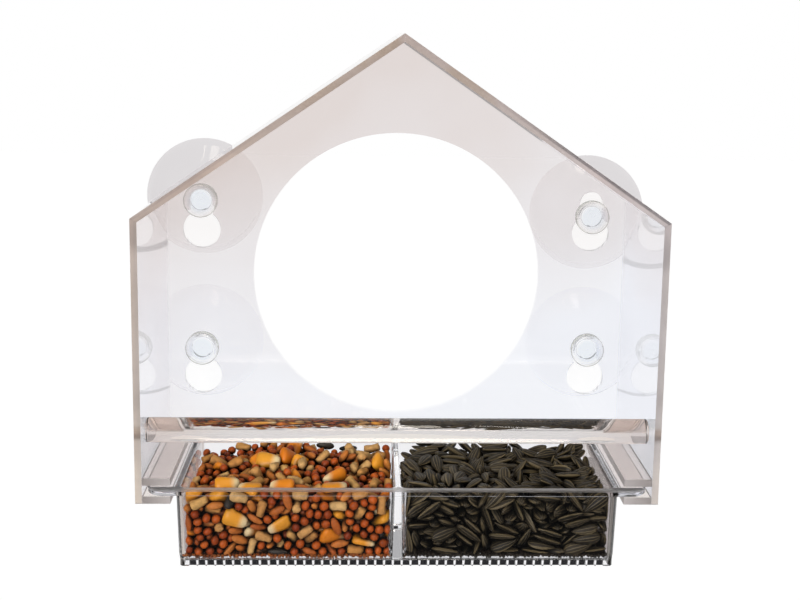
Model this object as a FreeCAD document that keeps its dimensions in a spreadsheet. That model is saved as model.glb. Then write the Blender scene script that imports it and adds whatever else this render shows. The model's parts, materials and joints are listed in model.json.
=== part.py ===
# Window bird feeder: a clear open-fronted house that hangs on a window pane by four suction cups.
# Frame: the window pane is the plane Y = 0 and the feeder stands out from it towards -Y.
# X runs to the right as seen from the front, Z is up, and the origin is the middle of the four cup seats.
import FreeCAD, Part
import math
import os
import Sketcher

SIZES = {
    # House, glued up from cut clear sheet
    "house_width": 178.0,
    "house_depth": 62.0,
    "roof_rise": 61.0,
    "sheet": 2.3,
    "glue_line": 0.06,
    # Back panel: round viewing opening and four keyholes
    "view_hole": 109.0,
    "seat_inset": 15.0,
    "lower_seat_height": 38.3,
    "eave_above_seat": 2.3,
    "keyhole_drop": 11.4,
    "keyhole_entry": 14.2,
    "slot_clearance": 0.3,
    # Suction cups: cone, neck and mushroom head
    "cup_diameter": 45.0,
    "cup_row_gap": 0.6,
    "cup_rim": 0.9,
    "cup_land": 1.5,
    "cup_hollow": 4.5,
    "cup_shoulder": 15.0,
    "cup_neck": 8.0,
    "cup_head": 12.7,
    "cup_head_height": 4.0,
    "cup_head_bevel": 0.9,
    "cup_play": 0.3,
    "cup_slip": 5.0,
    "window_gap": 9.0,
    # Perch rod with turned-down spigots
    "perch_diameter": 8.6,
    "perch_height": 22.2,
    "perch_setback": 11.0,
    "spigot_diameter": 4.1,
    # Rails glued to the side walls
    "rail_width": 9.5,
    "rail_thickness": 2.6,
    "rail_groove": 3.8,
    # Pull-out seed tray
    "slide_clearance": 0.2,
    "tray_side_gap": 1.2,
    "tray_rail_gap": 1.2,
    "tray_back_gap": 1.0,
    "tray_lip": 0.6,
    "flange_thickness": 2.2,
    "flange_corner": 5.0,
    "tray_height": 28.2,
    "tray_draft": 1.5,
    "tray_wall": 1.8,
    "tray_floor": 1.0,
    "tray_corner": 4.0,
    "tray_divider": 2.0,
    "foot_height": 1.6,
    "foot_inset": 1.2,
    "foot_wall": 1.6,
    "notch_pitch": 3.05,
    "notch_width": 1.5,
    "notch_height": 1.4,
    # Seed in the two bays, measured down from the rim
    "seed_gap": 0.3,
    "seed_drop_front": 3.0,
    "seed_drop_crest": 1.6,
    "seed_drop_back": 5.0,
    "heap_rise": 2.4,
    "heap_radius": 11.0,
    "heap_inset": 9.4,
    "heap_root": 1.5,
}

# Places that several pieces share, as expressions on the sheet
SEAT_RISE = "(Sizes.cup_diameter + Sizes.keyhole_drop + Sizes.cup_row_gap)"
FOOT = f"(-(Sizes.lower_seat_height + {SEAT_RISE} / 2))"
EAVE = f"(Sizes.lower_seat_height + {SEAT_RISE} + Sizes.eave_above_seat)"
APEX = f"({EAVE} + Sizes.roof_rise)"
HALF = "(Sizes.house_width / 2)"
SLOPE = f"(Sizes.roof_rise / {HALF})"
ROOF_DEPTH = f"(Sizes.sheet * sqrt(1 + {SLOPE} * {SLOPE}))"
INNER_EAVE = f"({EAVE} + Sizes.sheet * {SLOPE} - {ROOF_DEPTH})"
REAR = "(-Sizes.window_gap)"
PANEL_FRONT = "(-(Sizes.window_gap + Sizes.sheet))"
GLUE_PLANE = f"({PANEL_FRONT} - Sizes.glue_line)"
FRONT = "(-(Sizes.window_gap + Sizes.house_depth))"
WALL_DEPTH = "(Sizes.house_depth - Sizes.sheet - Sizes.glue_line)"
SEAT_X = f"({HALF} - Sizes.seat_inset)"
SLOT = "(Sizes.cup_neck + 2 * Sizes.slot_clearance)"
INNER_HALF = f"({HALF} - Sizes.sheet - Sizes.glue_line)"

# The tray's own places, with its origin at the middle of the rim, on top of the flange
FLANGE_WIDTH = f"(2 * ({INNER_HALF} - Sizes.tray_side_gap))"
FLANGE_DEPTH = "(Sizes.house_depth - Sizes.sheet - Sizes.tray_back_gap)"
TRAY_WIDTH = f"(2 * ({INNER_HALF} - Sizes.rail_width - Sizes.tray_rail_gap))"
TRAY_DEPTH = f"({FLANGE_DEPTH} - 2 * Sizes.tray_lip)"
TRAY_MIDDLE = f"({FRONT} + {FLANGE_DEPTH} / 2)"
RIM = f"({FOOT} + Sizes.rail_thickness + Sizes.slide_clearance + Sizes.flange_thickness)"
BLOCK = "(Sizes.tray_height - Sizes.foot_height)"
BAY_HEIGHT = f"({BLOCK} - Sizes.tray_floor)"
BAY_WIDTH = f"(({TRAY_WIDTH} - 2 * Sizes.tray_wall - Sizes.tray_divider) / 2)"
BAY_DEPTH = f"({TRAY_DEPTH} - 2 * Sizes.tray_wall)"
BAY_MIDDLE = f"(({BAY_WIDTH} + Sizes.tray_divider) / 2)"
BAY_TAPER = f"({BAY_HEIGHT} * tan(Sizes.tray_draft * 1 deg))"
BAY_CORNER = "(Sizes.tray_corner - Sizes.tray_wall)"
FOOT_TAPER = f"({BLOCK} * tan(Sizes.tray_draft * 1 deg) + Sizes.foot_inset)"
FOOT_X = f"({TRAY_WIDTH} / 2 - {FOOT_TAPER})"
FOOT_Y = f"({TRAY_DEPTH} / 2 - {FOOT_TAPER})"

SIDES = {"left": -1, "right": 1}
ROWS = {"lower": -1, "upper": 1}
HEAP_COLUMNS = 5
MATCH = 0.01

doc = FreeCAD.newDocument("window_bird_feeder")
sheet = doc.addObject("Spreadsheet::Sheet", "Sizes")
for row, (alias, size) in enumerate(SIZES.items(), start=1):
    sheet.set(f"A{row}", alias)
    sheet.set(f"B{row}", str(size))
    sheet.setAlias(f"B{row}", alias)
doc.recompute()


def bind(item, **expressions):
    """Bind properties of an object to expressions; a double underscore stands for a dot."""
    for path, expression in expressions.items():
        item.setExpression(path.replace("__", "."), expression)


def new_body(label, across="0", back="0", up="0"):
    """An empty body whose origin is at the given place."""
    body = doc.addObject("PartDesign::Body", label)
    body.Label = label
    bind(body, Placement__Base__x=across, Placement__Base__y=back, Placement__Base__z=up)
    return body


def origin_item(body, role):
    """One of the body's own origin planes or axes."""
    return next(item for item in body.Origin.OriginFeatures if item.Role == role)


def new_sketch(body, name, role, offset="0"):
    """A sketch on one of the body's origin planes, moved along the plane's normal."""
    sketch = body.newObject("Sketcher::SketchObject", name)
    sketch.AttachmentSupport = [(origin_item(body, role), "")]
    sketch.MapMode = "FlatFace"
    bind(sketch, AttachmentOffset__Base__z=offset)
    return sketch


def pin(sketch, edge, point, across, up):
    """Hold one point of a sketch edge at a place measured from the sketch's origin."""
    for kind, expression in (("DistanceX", across), ("DistanceY", up)):
        index = sketch.addConstraint(Sketcher.Constraint(kind, -1, 1, edge, point, 1.0))
        sketch.setExpression(f"Constraints[{index}]", expression)


def add_polygon(sketch, corners):
    """A closed outline of straight lines; it starts as a regular polygon and the pins give it its shape."""
    count = len(corners)
    first = sketch.GeometryCount
    turns = [2 * math.pi * index / count for index in range(count + 1)]
    spots = [FreeCAD.Vector(math.cos(turn), math.sin(turn), 0) for turn in turns]
    for start, end in zip(spots, spots[1:]):
        sketch.addGeometry(Part.LineSegment(start, end), False)
    for index in range(count):
        after = first + (index + 1) % count
        sketch.addConstraint(Sketcher.Constraint("Coincident", first + index, 2, after, 1))
    for index, (across, up) in enumerate(corners):
        pin(sketch, first + index, 1, across, up)


def add_rectangle(sketch, width, height, across="0", up="0"):
    """A rectangle about its own middle."""
    left = f"({across}) - ({width}) / 2"
    right = f"({across}) + ({width}) / 2"
    low = f"({up}) - ({height}) / 2"
    high = f"({up}) + ({height}) / 2"
    add_polygon(sketch, [(left, low), (right, low), (right, high), (left, high)])


def add_circle(sketch, diameter, across="0", up="0"):
    """A circle of a bound diameter with its centre pinned."""
    edge = sketch.addGeometry(Part.Circle(FreeCAD.Vector(0, 0, 0), FreeCAD.Vector(0, 0, 1), 1.0), False)
    pin(sketch, edge, 3, across, up)
    index = sketch.addConstraint(Sketcher.Constraint("Diameter", edge, 2.0))
    sketch.setExpression(f"Constraints[{index}]", diameter)


def pad(body, sketch, name, length, down=False, taper=None):
    """Extrude a sketch along its plane's normal, or against it."""
    feature = body.newObject("PartDesign::Pad", name)
    feature.Profile = sketch
    feature.Reversed = down
    bind(feature, Length=length)
    if taper:
        bind(feature, TaperAngle=taper)
    doc.recompute()
    return feature


def pocket(body, sketch, name, depth=None, taper=None):
    """Cut a sketch to a depth, or right through both ways, and make sure that something was cut."""
    before = body.Shape.Volume
    feature = body.newObject("PartDesign::Pocket", name)
    feature.Profile = sketch
    if depth:
        bind(feature, Length=depth)
    else:
        feature.Type = "ThroughAll"
        feature.SideType = "Symmetric"
    if taper:
        bind(feature, TaperAngle=taper)
    doc.recompute()
    if body.Shape.Volume > before - MATCH:
        raise RuntimeError(f"{body.Label}: {name} cuts nothing")
    return feature


def upright_edges(shape, low):
    """Names of the edges that rise from the given height, such as the corners of a box."""
    names = []
    for index, edge in enumerate(shape.Edges, start=1):
        ends = sorted(vertex.Z for vertex in edge.Vertexes)
        if len(ends) == 2 and abs(ends[0] - low) < MATCH and ends[1] > low + MATCH:
            names.append(f"Edge{index}")
    return names


def round_corners(body, feature, name, low, radius):
    """Round the upright corners that start at a height."""
    fillet = body.newObject("PartDesign::Fillet", name)
    fillet.Base = (feature, upright_edges(feature.Shape, low))
    bind(fillet, Radius=radius)
    doc.recompute()
    return fillet


def lowest(feature):
    """The lowest corner's height in a feature's own shape."""
    return min(vertex.Z for vertex in feature.Shape.Vertexes)


def make_back_panel():
    """House-shaped sheet with the viewing opening and four keyholes."""
    body = new_body("back_panel", back=REAR, up=FOOT)
    outline = new_sketch(body, "panel_outline", "XZ_Plane")
    corners = [(f"-{HALF}", "0"), (HALF, "0"), (HALF, EAVE), ("0", APEX), (f"-{HALF}", EAVE)]
    add_polygon(outline, corners)
    pad(body, outline, "panel_sheet", "Sizes.sheet")
    opening = new_sketch(body, "view_outline", "XZ_Plane")
    add_circle(opening, "Sizes.view_hole", up=f"Sizes.lower_seat_height + {SEAT_RISE} / 2")
    pocket(body, opening, "view_opening")
    seats = new_sketch(body, "seat_outline", "XZ_Plane")
    slots = new_sketch(body, "slot_outline", "XZ_Plane")
    entries = new_sketch(body, "entry_outline", "XZ_Plane")
    for side in SIDES.values():
        for seat in ("Sizes.lower_seat_height", f"(Sizes.lower_seat_height + {SEAT_RISE})"):
            across = f"{side} * {SEAT_X}"
            add_circle(seats, SLOT, across, seat)
            add_rectangle(slots, SLOT, "Sizes.keyhole_drop", across, f"{seat} - Sizes.keyhole_drop / 2")
            add_circle(entries, "Sizes.keyhole_entry", across, f"{seat} - Sizes.keyhole_drop")
    pocket(body, seats, "seat_ends")
    pocket(body, slots, "slots")
    pocket(body, entries, "entry_holes")
    return body


def make_side_wall(label, side):
    """Upright side, mitred under the roof, with a hole for the perch's spigot."""
    body = new_body(label, back=GLUE_PLANE, up=FOOT)
    outline = new_sketch(body, "wall_outline", "XZ_Plane")
    outer = f"{side} * {HALF}"
    inner = f"{side} * ({HALF} - Sizes.sheet)"
    corners = [
        (outer, "0"),
        (inner, "0"),
        (inner, f"{INNER_EAVE} - Sizes.glue_line"),
        (outer, f"{EAVE} - Sizes.glue_line"),
    ]
    add_polygon(outline, corners)
    pad(body, outline, "wall_sheet", WALL_DEPTH)
    hole = new_sketch(body, "spigot_outline", "YZ_Plane")
    add_circle(
        hole,
        "Sizes.spigot_diameter + 2 * Sizes.glue_line",
        f"Sizes.perch_setback - {WALL_DEPTH}",
        "Sizes.perch_height",
    )
    pocket(body, hole, "spigot_hole")
    return body


def make_roof_panel(label, side):
    """Sloping roof sheet, mitred at the eave and at the ridge."""
    body = new_body(label, back=GLUE_PLANE, up=FOOT)
    outline = new_sketch(body, "roof_outline", "XZ_Plane")
    ridge = f"{side} * Sizes.glue_line / 2"
    ridge_top = f"{APEX} - {SLOPE} * Sizes.glue_line / 2"
    corners = [
        (f"{side} * {HALF}", EAVE),
        (ridge, ridge_top),
        (ridge, f"{ridge_top} - {ROOF_DEPTH}"),
        (f"{side} * ({HALF} - Sizes.sheet)", INNER_EAVE),
    ]
    add_polygon(outline, corners)
    pad(body, outline, "roof_sheet", WALL_DEPTH)
    return body


def make_rail(label, side, level):
    """Flat strip glued to a side wall; the tray's flange slides between two of them."""
    rail = doc.addObject("Part::Box", label)
    rail.Label = label
    across = INNER_HALF + " - Sizes.rail_width" if side > 0 else f"-{INNER_HALF}"
    bind(
        rail,
        Length="Sizes.rail_width",
        Width=WALL_DEPTH,
        Height="Sizes.rail_thickness",
        Placement__Base__x=across,
        Placement__Base__y=FRONT,
        Placement__Base__z=f"{FOOT} + {level}",
    )
    return rail


def new_cylinder(name, diameter, height, base="0"):
    """A cylinder along its own Z axis."""
    cylinder = doc.addObject("Part::Cylinder", name)
    bind(cylinder, Radius=f"({diameter}) / 2", Height=height, Placement__Base__z=base)
    return cylinder


def new_cone(name, low_diameter, high_diameter, height, base="0"):
    """A cone frustum along its own Z axis."""
    cone = doc.addObject("Part::Cone", name)
    bind(cone, Radius1=f"({low_diameter}) / 2", Radius2=f"({high_diameter}) / 2")
    bind(cone, Height=height, Placement__Base__z=base)
    return cone


def make_perch():
    """Round rod between the side walls; its thinner spigots go through them."""
    length = f"(2 * {INNER_HALF})"
    rod = new_cylinder("perch_shank", "Sizes.perch_diameter", length, f"-{length} / 2")
    spigots = new_cylinder("perch_spigots", "Sizes.spigot_diameter", "Sizes.house_width", f"-{HALF}")
    perch = doc.addObject("Part::MultiFuse", "perch_rod")
    perch.Label = "perch_rod"
    perch.Shapes = [rod, spigots]
    perch.Placement.Rotation = FreeCAD.Rotation(FreeCAD.Vector(0, 1, 0), 90)
    bind(perch, Placement__Base__y=f"{FRONT} + Sizes.perch_setback")
    bind(perch, Placement__Base__z=f"{FOOT} + Sizes.perch_height")
    return perch


def make_cup(label, side, row):
    """Suction cup: thin rim, cone, neck through the slot and mushroom head, hollowed by a sphere."""
    shoulder = "(Sizes.window_gap - Sizes.cup_play)"
    throat = "(Sizes.window_gap + Sizes.sheet + Sizes.cup_play)"
    crown = f"({throat} + Sizes.cup_head_height - Sizes.cup_head_bevel)"
    head_top = "Sizes.cup_head - 2 * Sizes.cup_head_bevel"
    body = doc.addObject("Part::MultiFuse", f"{label}_moulding")
    body.Shapes = [
        new_cylinder(f"{label}_rim", "Sizes.cup_diameter", "Sizes.cup_rim"),
        new_cone(
            f"{label}_cone",
            "Sizes.cup_diameter",
            "Sizes.cup_shoulder",
            f"{shoulder} - Sizes.cup_rim",
            "Sizes.cup_rim",
        ),
        new_cylinder(f"{label}_neck", "Sizes.cup_neck", f"{throat} - {shoulder}", shoulder),
        new_cylinder(f"{label}_head", "Sizes.cup_head", f"{crown} - {throat}", throat),
        new_cone(f"{label}_crown", "Sizes.cup_head", head_top, "Sizes.cup_head_bevel", crown),
    ]
    mouth = "(Sizes.cup_diameter / 2 - Sizes.cup_land)"
    radius = f"(({mouth} * {mouth} + Sizes.cup_hollow * Sizes.cup_hollow) / (2 * Sizes.cup_hollow))"
    hollow = doc.addObject("Part::Sphere", f"{label}_hollow")
    bind(hollow, Radius=radius, Placement__Base__z=f"Sizes.cup_hollow - {radius}")
    cup = doc.addObject("Part::Cut", label)
    cup.Label = label
    cup.Base = body
    cup.Tool = hollow
    cup.Placement.Rotation = FreeCAD.Rotation(FreeCAD.Vector(1, 0, 0), 90)
    slipped = side > 0 and row > 0
    up = f"{row} * {SEAT_RISE} / 2" + (" - Sizes.cup_slip" if slipped else "")
    bind(cup, Placement__Base__x=f"{side} * {SEAT_X}", Placement__Base__z=up)
    return cup


def make_tray():
    """Moulded tray: flange that slides in the rails, two bays and notched foot rim."""
    body = new_body("seed_tray", back=TRAY_MIDDLE, up=RIM)
    flange_outline = new_sketch(body, "flange_outline", "XY_Plane")
    add_rectangle(flange_outline, FLANGE_WIDTH, FLANGE_DEPTH)
    flange = pad(body, flange_outline, "flange", "Sizes.flange_thickness", down=True)
    round_corners(body, flange, "flange_corners", lowest(flange), "Sizes.flange_corner")
    block_outline = new_sketch(body, "block_outline", "XY_Plane")
    add_rectangle(block_outline, TRAY_WIDTH, TRAY_DEPTH)
    block = pad(body, block_outline, "block", BLOCK, down=True, taper="-Sizes.tray_draft")
    round_corners(body, block, "block_corners", lowest(block), "Sizes.tray_corner")

    bay_outline = new_sketch(body, "bay_outline", "XY_Plane")
    for side in SIDES.values():
        add_rectangle(bay_outline, BAY_WIDTH, BAY_DEPTH, across=f"{side} * {BAY_MIDDLE}")
    bays = pocket(body, bay_outline, "bays", BAY_HEIGHT, taper="-Sizes.tray_draft")
    bay_floor = lowest(bays) + SIZES["tray_floor"]
    round_corners(body, bays, "bay_corners", bay_floor, BAY_CORNER)

    foot_outline = new_sketch(body, "foot_outline", "XY_Plane", f"-{BLOCK}")
    add_rectangle(foot_outline, f"2 * {FOOT_X}", f"2 * {FOOT_Y}")
    add_rectangle(foot_outline, f"2 * ({FOOT_X} - Sizes.foot_wall)", f"2 * ({FOOT_Y} - Sizes.foot_wall)")
    pad(body, foot_outline, "foot_rim", "Sizes.foot_height", down=True)

    for name, plane, axis, half in (
        ("front_notch", "XZ_Plane", "X_Axis", FOOT_X),
        ("side_notch", "YZ_Plane", "Y_Axis", FOOT_Y),
    ):
        room = f"(2 * ({half} - Sizes.foot_wall))"
        count = f"floor({room} / Sizes.notch_pitch)"
        notch_outline = new_sketch(body, f"{name}_outline", plane)
        middle = "-Sizes.tray_height + Sizes.notch_height / 2"
        start = f"-({count} - 1) * Sizes.notch_pitch / 2"
        add_rectangle(notch_outline, "Sizes.notch_width", "Sizes.notch_height", start, middle)
        notch = pocket(body, notch_outline, name)
        row = body.newObject("PartDesign::LinearPattern", f"{name}_row")
        row.Originals = [notch]
        row.Direction = (origin_item(body, axis), [""])
        row.Mode = "Spacing"
        bind(row, Offset="Sizes.notch_pitch", Occurrences=count)
        body.Tip = row
        doc.recompute()
    return body


def make_heaps(label, side):
    """Low round heaps in staggered rows, each a cap of a sphere rooted in the bed; their tops keep the level
    that the rim sets for each row."""
    reach_x = f"({BAY_WIDTH} / 2 - Sizes.heap_inset)"
    reach_y = f"({BAY_DEPTH} / 2 - Sizes.heap_inset)"
    share = f"(2 * {reach_y} / {BAY_DEPTH})"
    crest = "Sizes.seed_drop_crest"
    heaps = []
    for row, edge in ((-1, "Sizes.seed_drop_front"), (0, crest), (1, "Sizes.seed_drop_back")):
        columns = HEAP_COLUMNS if row else HEAP_COLUMNS - 1
        drop = f"({crest} + ({edge} - {crest}) * {share})"
        for column in range(columns):
            step = (2 * column - columns + 1) / (HEAP_COLUMNS - 1)
            heap = doc.addObject("Part::Sphere", f"{label}_heap")
            bind(
                heap,
                Radius="Sizes.heap_radius",
                Angle1="asin(1 - (Sizes.heap_rise + Sizes.heap_root) / Sizes.heap_radius)",
                Placement__Base__x=f"{side} * {BAY_MIDDLE} + {step} * {reach_x}",
                Placement__Base__y=f"{TRAY_MIDDLE} + {row} * {reach_y}",
                Placement__Base__z=f"{RIM} - {drop} - Sizes.heap_radius",
            )
            heaps.append(heap)
    return heaps


def make_seed(label, side):
    """Bed of seed that fills one bay, a little clear of its walls, with a crest along its middle and low heaps."""
    body = new_body(f"{label}_bed", across=f"{side} * {BAY_MIDDLE}", back=TRAY_MIDDLE, up=f"{RIM} - {BAY_HEIGHT}")
    bed_outline = new_sketch(body, "bed_outline", "XY_Plane")
    shrink = f"2 * ({BAY_TAPER} + Sizes.seed_gap)"
    add_rectangle(bed_outline, f"{BAY_WIDTH} - {shrink}", f"{BAY_DEPTH} - {shrink}")
    level = f"({BAY_HEIGHT} - Sizes.heap_rise)"
    crest = f"({level} - Sizes.seed_drop_crest)"
    bed = pad(body, bed_outline, "bed", crest, taper="Sizes.tray_draft")
    round_corners(body, bed, "bed_corners", lowest(bed), BAY_CORNER)
    slope_outline = new_sketch(body, "slope_outline", "YZ_Plane")
    front = f"-{BAY_DEPTH} / 2"
    rear = f"{BAY_DEPTH} / 2"
    corners = [
        (front, f"{level} - Sizes.seed_drop_front"),
        ("0", crest),
        (rear, f"{level} - Sizes.seed_drop_back"),
        (rear, level),
        (front, level),
    ]
    add_polygon(slope_outline, corners)
    pocket(body, slope_outline, "slopes")
    seed = doc.addObject("Part::MultiFuse", label)
    seed.Label = label
    seed.Shapes = [body, *make_heaps(label, side)]
    return seed


def make_parts():
    """Every separate piece of the feeder."""
    pieces = [make_back_panel(), make_perch(), make_tray()]
    upper_level = "Sizes.rail_thickness + Sizes.rail_groove"
    for name, side in SIDES.items():
        pieces.append(make_side_wall(f"{name}_side_wall", side))
        pieces.append(make_roof_panel(f"{name}_roof_panel", side))
        pieces.append(make_rail(f"{name}_lower_rail", side, "0"))
        pieces.append(make_rail(f"{name}_upper_rail", side, upper_level))
        for row_name, row_sign in ROWS.items():
            pieces.append(make_cup(f"suction_cup_{row_name}_{name}", side, row_sign))
    pieces.append(make_seed("mixed_grain", SIDES["left"]))
    pieces.append(make_seed("sunflower_seed", SIDES["right"]))
    return pieces


def write_parts(pieces):
    """Check the whole document, then write one file for each piece."""
    doc.recompute()
    faults = [item.Label for item in doc.Objects if "Invalid" in item.State or "Error" in item.State]
    faults += [piece.Label for piece in pieces if piece.Shape.isNull() or not piece.Shape.isValid()]
    if faults:
        raise RuntimeError(f"failed objects: {faults}")
    os.makedirs("parts", exist_ok=True)
    for piece in pieces:
        piece.Shape.exportStep(f"parts/{piece.Label}.step")
        box = piece.Shape.BoundBox
        print(f"{piece.Label}: {box.XLength:.2f} x {box.YLength:.2f} x {box.ZLength:.2f} mm")


write_parts(make_parts())
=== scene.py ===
# Window bird feeder: its looks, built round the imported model.
import json
import math

import bmesh
import bpy
import numpy as np
from mathutils import Matrix, Quaternion, Vector
from mathutils.geometry import tessellate_polygon

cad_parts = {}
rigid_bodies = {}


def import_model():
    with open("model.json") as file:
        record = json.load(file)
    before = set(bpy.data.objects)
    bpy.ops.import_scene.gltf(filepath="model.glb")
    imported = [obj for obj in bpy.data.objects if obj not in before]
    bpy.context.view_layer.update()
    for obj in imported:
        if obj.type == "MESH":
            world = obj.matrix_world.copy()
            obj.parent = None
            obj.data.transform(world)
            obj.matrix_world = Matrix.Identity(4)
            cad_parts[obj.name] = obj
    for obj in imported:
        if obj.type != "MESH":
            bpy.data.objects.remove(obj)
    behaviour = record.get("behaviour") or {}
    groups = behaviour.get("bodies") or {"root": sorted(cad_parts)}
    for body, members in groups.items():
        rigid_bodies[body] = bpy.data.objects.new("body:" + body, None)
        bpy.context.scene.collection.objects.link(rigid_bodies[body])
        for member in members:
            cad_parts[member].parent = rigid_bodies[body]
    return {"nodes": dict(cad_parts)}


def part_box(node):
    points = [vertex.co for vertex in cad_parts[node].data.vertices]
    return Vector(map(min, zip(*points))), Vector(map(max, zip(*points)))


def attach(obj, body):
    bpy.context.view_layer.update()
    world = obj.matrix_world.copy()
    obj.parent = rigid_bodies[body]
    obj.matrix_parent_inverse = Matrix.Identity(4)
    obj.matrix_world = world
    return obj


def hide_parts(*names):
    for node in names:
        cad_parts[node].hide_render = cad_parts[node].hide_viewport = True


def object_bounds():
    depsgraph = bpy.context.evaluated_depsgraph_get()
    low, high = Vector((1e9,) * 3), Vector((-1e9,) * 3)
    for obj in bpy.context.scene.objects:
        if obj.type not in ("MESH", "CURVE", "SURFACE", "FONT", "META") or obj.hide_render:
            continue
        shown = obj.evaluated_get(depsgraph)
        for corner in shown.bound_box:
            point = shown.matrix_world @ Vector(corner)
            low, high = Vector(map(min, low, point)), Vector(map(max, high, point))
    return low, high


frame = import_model()
cad_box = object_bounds()

# Sizes are in millimetres, as in the part's source; places inside a material are in metres
MM = 0.001
TAU = 2 * math.pi
SIDES = {"left": -1, "right": 1}
ROWS = ("lower", "upper")
ROOF_RISE, HALF_WIDTH = 61.0, 89.0


def node_box(node):
    """A CAD node's lowest and highest corners in millimetres."""
    low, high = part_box(node)
    return np.array(low) / MM, np.array(high) / MM


# Surfaces

MERGE = 1e-7
CREASE, SEED_CREASE = 35.0, 80.0


def loft_faces(start, count, spokes):
    """Quads between successive loops whose first point has the given number."""
    i, j = np.meshgrid(np.arange(count - 1), np.arange(spokes), indexing="ij")
    after = (j + 1) % spokes
    near, far = i * spokes, (i + 1) * spokes
    quads = np.stack([near + j, near + after, far + after, far + j], -1)
    return (quads.reshape(-1, 4) + start).tolist()


def closed_surface(rings, first_pole, last_pole):
    """Points and faces of a surface of rings, each a closed loop of points, shut by a pole at each end.
    Ring i, spoke j is point i * spokes + j; the two poles come last."""
    count, spokes = rings.shape[:2]
    points = np.concatenate([rings.reshape(-1, 3), [first_pole, last_pole]])
    spoke = np.arange(spokes)
    beside = (spoke + 1) % spokes
    end = (count - 1) * spokes
    first = np.stack([np.full(spokes, count * spokes), beside, spoke], -1)
    last = np.stack([np.full(spokes, count * spokes + 1), end + spoke, end + beside], -1)
    return points, loft_faces(0, count, spokes) + first.tolist() + last.tolist()


def turned(profile, spokes):
    """A lathe surface about the X axis: each profile point (along, radius) becomes the ring
    (along, radius cos a, radius sin a); the profile starts and ends on the axis."""
    turn = np.linspace(0, TAU, spokes, endpoint=False)
    along, radius = profile[1:-1].T
    level = np.repeat(along[:, None], spokes, axis=1)
    rings = np.stack([level, np.outer(radius, np.cos(turn)), np.outer(radius, np.sin(turn))], -1)
    return closed_surface(rings, (profile[0, 0], 0, 0), (profile[-1, 0], 0, 0))


def unit(vector):
    return vector / np.linalg.norm(vector)


def rounded(corners, steps):
    """A path through corners (x, y, radius): at each one an arc of that radius touches both legs,
    turned evenly from its start to its end."""
    stretches = [np.array([corners[0][:2]])]
    for before, here, after in zip(corners, corners[1:], corners[2:]):
        middle, radius = np.array(here[:2], float), here[2]
        if not radius:
            stretches.append(middle[None])
            continue
        back, ahead = unit(np.array(before[:2]) - middle), unit(np.array(after[:2]) - middle)
        half = math.acos(np.clip(back @ ahead, -1, 1)) / 2
        centre = middle + unit(back + ahead) * radius / math.sin(half)
        start = middle + back * radius / math.tan(half) - centre
        end = middle + ahead * radius / math.tan(half) - centre
        sweep = math.pi - 2 * half
        share = np.linspace(0, 1, steps + 1)[:, None]
        arc = np.sin((1 - share) * sweep) * start + np.sin(share * sweep) * end
        stretches.append(centre + arc / math.sin(sweep))
    stretches.append(np.array([corners[-1][:2]]))
    return np.concatenate(stretches)


def rounded_rectangle(half_x, half_y, radius, height, shares_x, shares_y, corner_steps):
    """A level loop: straight stretches at the given shares (-1 to 1) of each side, and round corners."""
    reach_x, reach_y = half_x - radius, half_y - radius
    arc = np.linspace(0, math.pi / 2, corner_steps + 2)[1:-1]
    pair = [(shares_x, reach_x, half_y), (shares_y, reach_y, half_x)]
    sides = []
    for quarter, (shares, reach, out) in enumerate(pair * 2):
        # Each side is laid out along the front and then turned a quarter at a time
        along = np.stack([shares * reach, np.full(len(shares), -out)], -1)
        corner = np.stack([reach + radius * np.sin(arc), -(out - radius) - radius * np.cos(arc)], -1)
        turn = quarter * math.pi / 2
        rotation = np.array([[math.cos(turn), -math.sin(turn)], [math.sin(turn), math.cos(turn)]])
        sides.append(np.concatenate([along, corner]) @ rotation.T)
    loop = np.concatenate(sides)
    return np.column_stack([loop, np.full(len(loop), height)])


def level_face(loops, numbers):
    """Triangles that fill the first loop round the others; numbers give each loop's points in the mesh."""
    flat = np.concatenate(numbers)
    triangles = tessellate_polygon([[Vector(point) for point in loop] for loop in loops])
    return [flat[list(corners)].tolist() for corners in triangles]


def set_shade(mesh, name, values):
    """Give each point of a mesh a value under this name."""
    mesh.attributes.new(name, "FLOAT", "POINT").data.foreach_set("value", values.astype(np.float32))


def new_mesh(name, points, faces, **shades):
    """A mesh in metres, its doubles merged and its faces turned outwards; each shade is a value per point."""
    mesh = bpy.data.meshes.new(name)
    mesh.from_pydata((np.asarray(points) * MM).tolist(), [], faces)
    for shade, values in shades.items():
        set_shade(mesh, shade, values)
    work = bmesh.new()
    work.from_mesh(mesh)
    bmesh.ops.remove_doubles(work, verts=work.verts, dist=MERGE)
    bmesh.ops.recalc_face_normals(work, faces=work.faces)
    work.to_mesh(mesh)
    work.free()
    return mesh


def add_piece(mesh, material, body, replaced=(), crease=CREASE):
    """A finished piece: smooth but for its creases, riding on a body, standing for CAD nodes."""
    mesh.materials.append(material)
    mesh.polygons.foreach_set("use_smooth", np.ones(len(mesh.polygons), bool))
    mesh.set_sharp_from_angle(angle=math.radians(crease))
    piece = bpy.data.objects.new(mesh.name, mesh)
    bpy.context.scene.collection.objects.link(piece)
    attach(piece, body)
    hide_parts(*replaced)
    return piece


# Shader nodes


def add_node(tree, kind, inputs=None, **settings):
    """Add a node; inputs maps a socket's name or number to a value or to another node's output."""
    made = tree.nodes.new(kind)
    for key, value in settings.items():
        setattr(made, key, value)
    for key, value in (inputs or {}).items():
        if isinstance(value, bpy.types.NodeSocket):
            tree.links.new(value, made.inputs[key])
        else:
            made.inputs[key].default_value = value
    return made


def opaque(colour):
    """A colour for a socket: three numbers get full alpha, and another node's output stays as it is."""
    return (*colour, 1.0) if isinstance(colour, tuple) else colour


def maths(tree, operation, first, second=0.0, third=0.0):
    made = add_node(tree, "ShaderNodeMath", {0: first, 1: second, 2: third}, operation=operation)
    return made.outputs[0]


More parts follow.
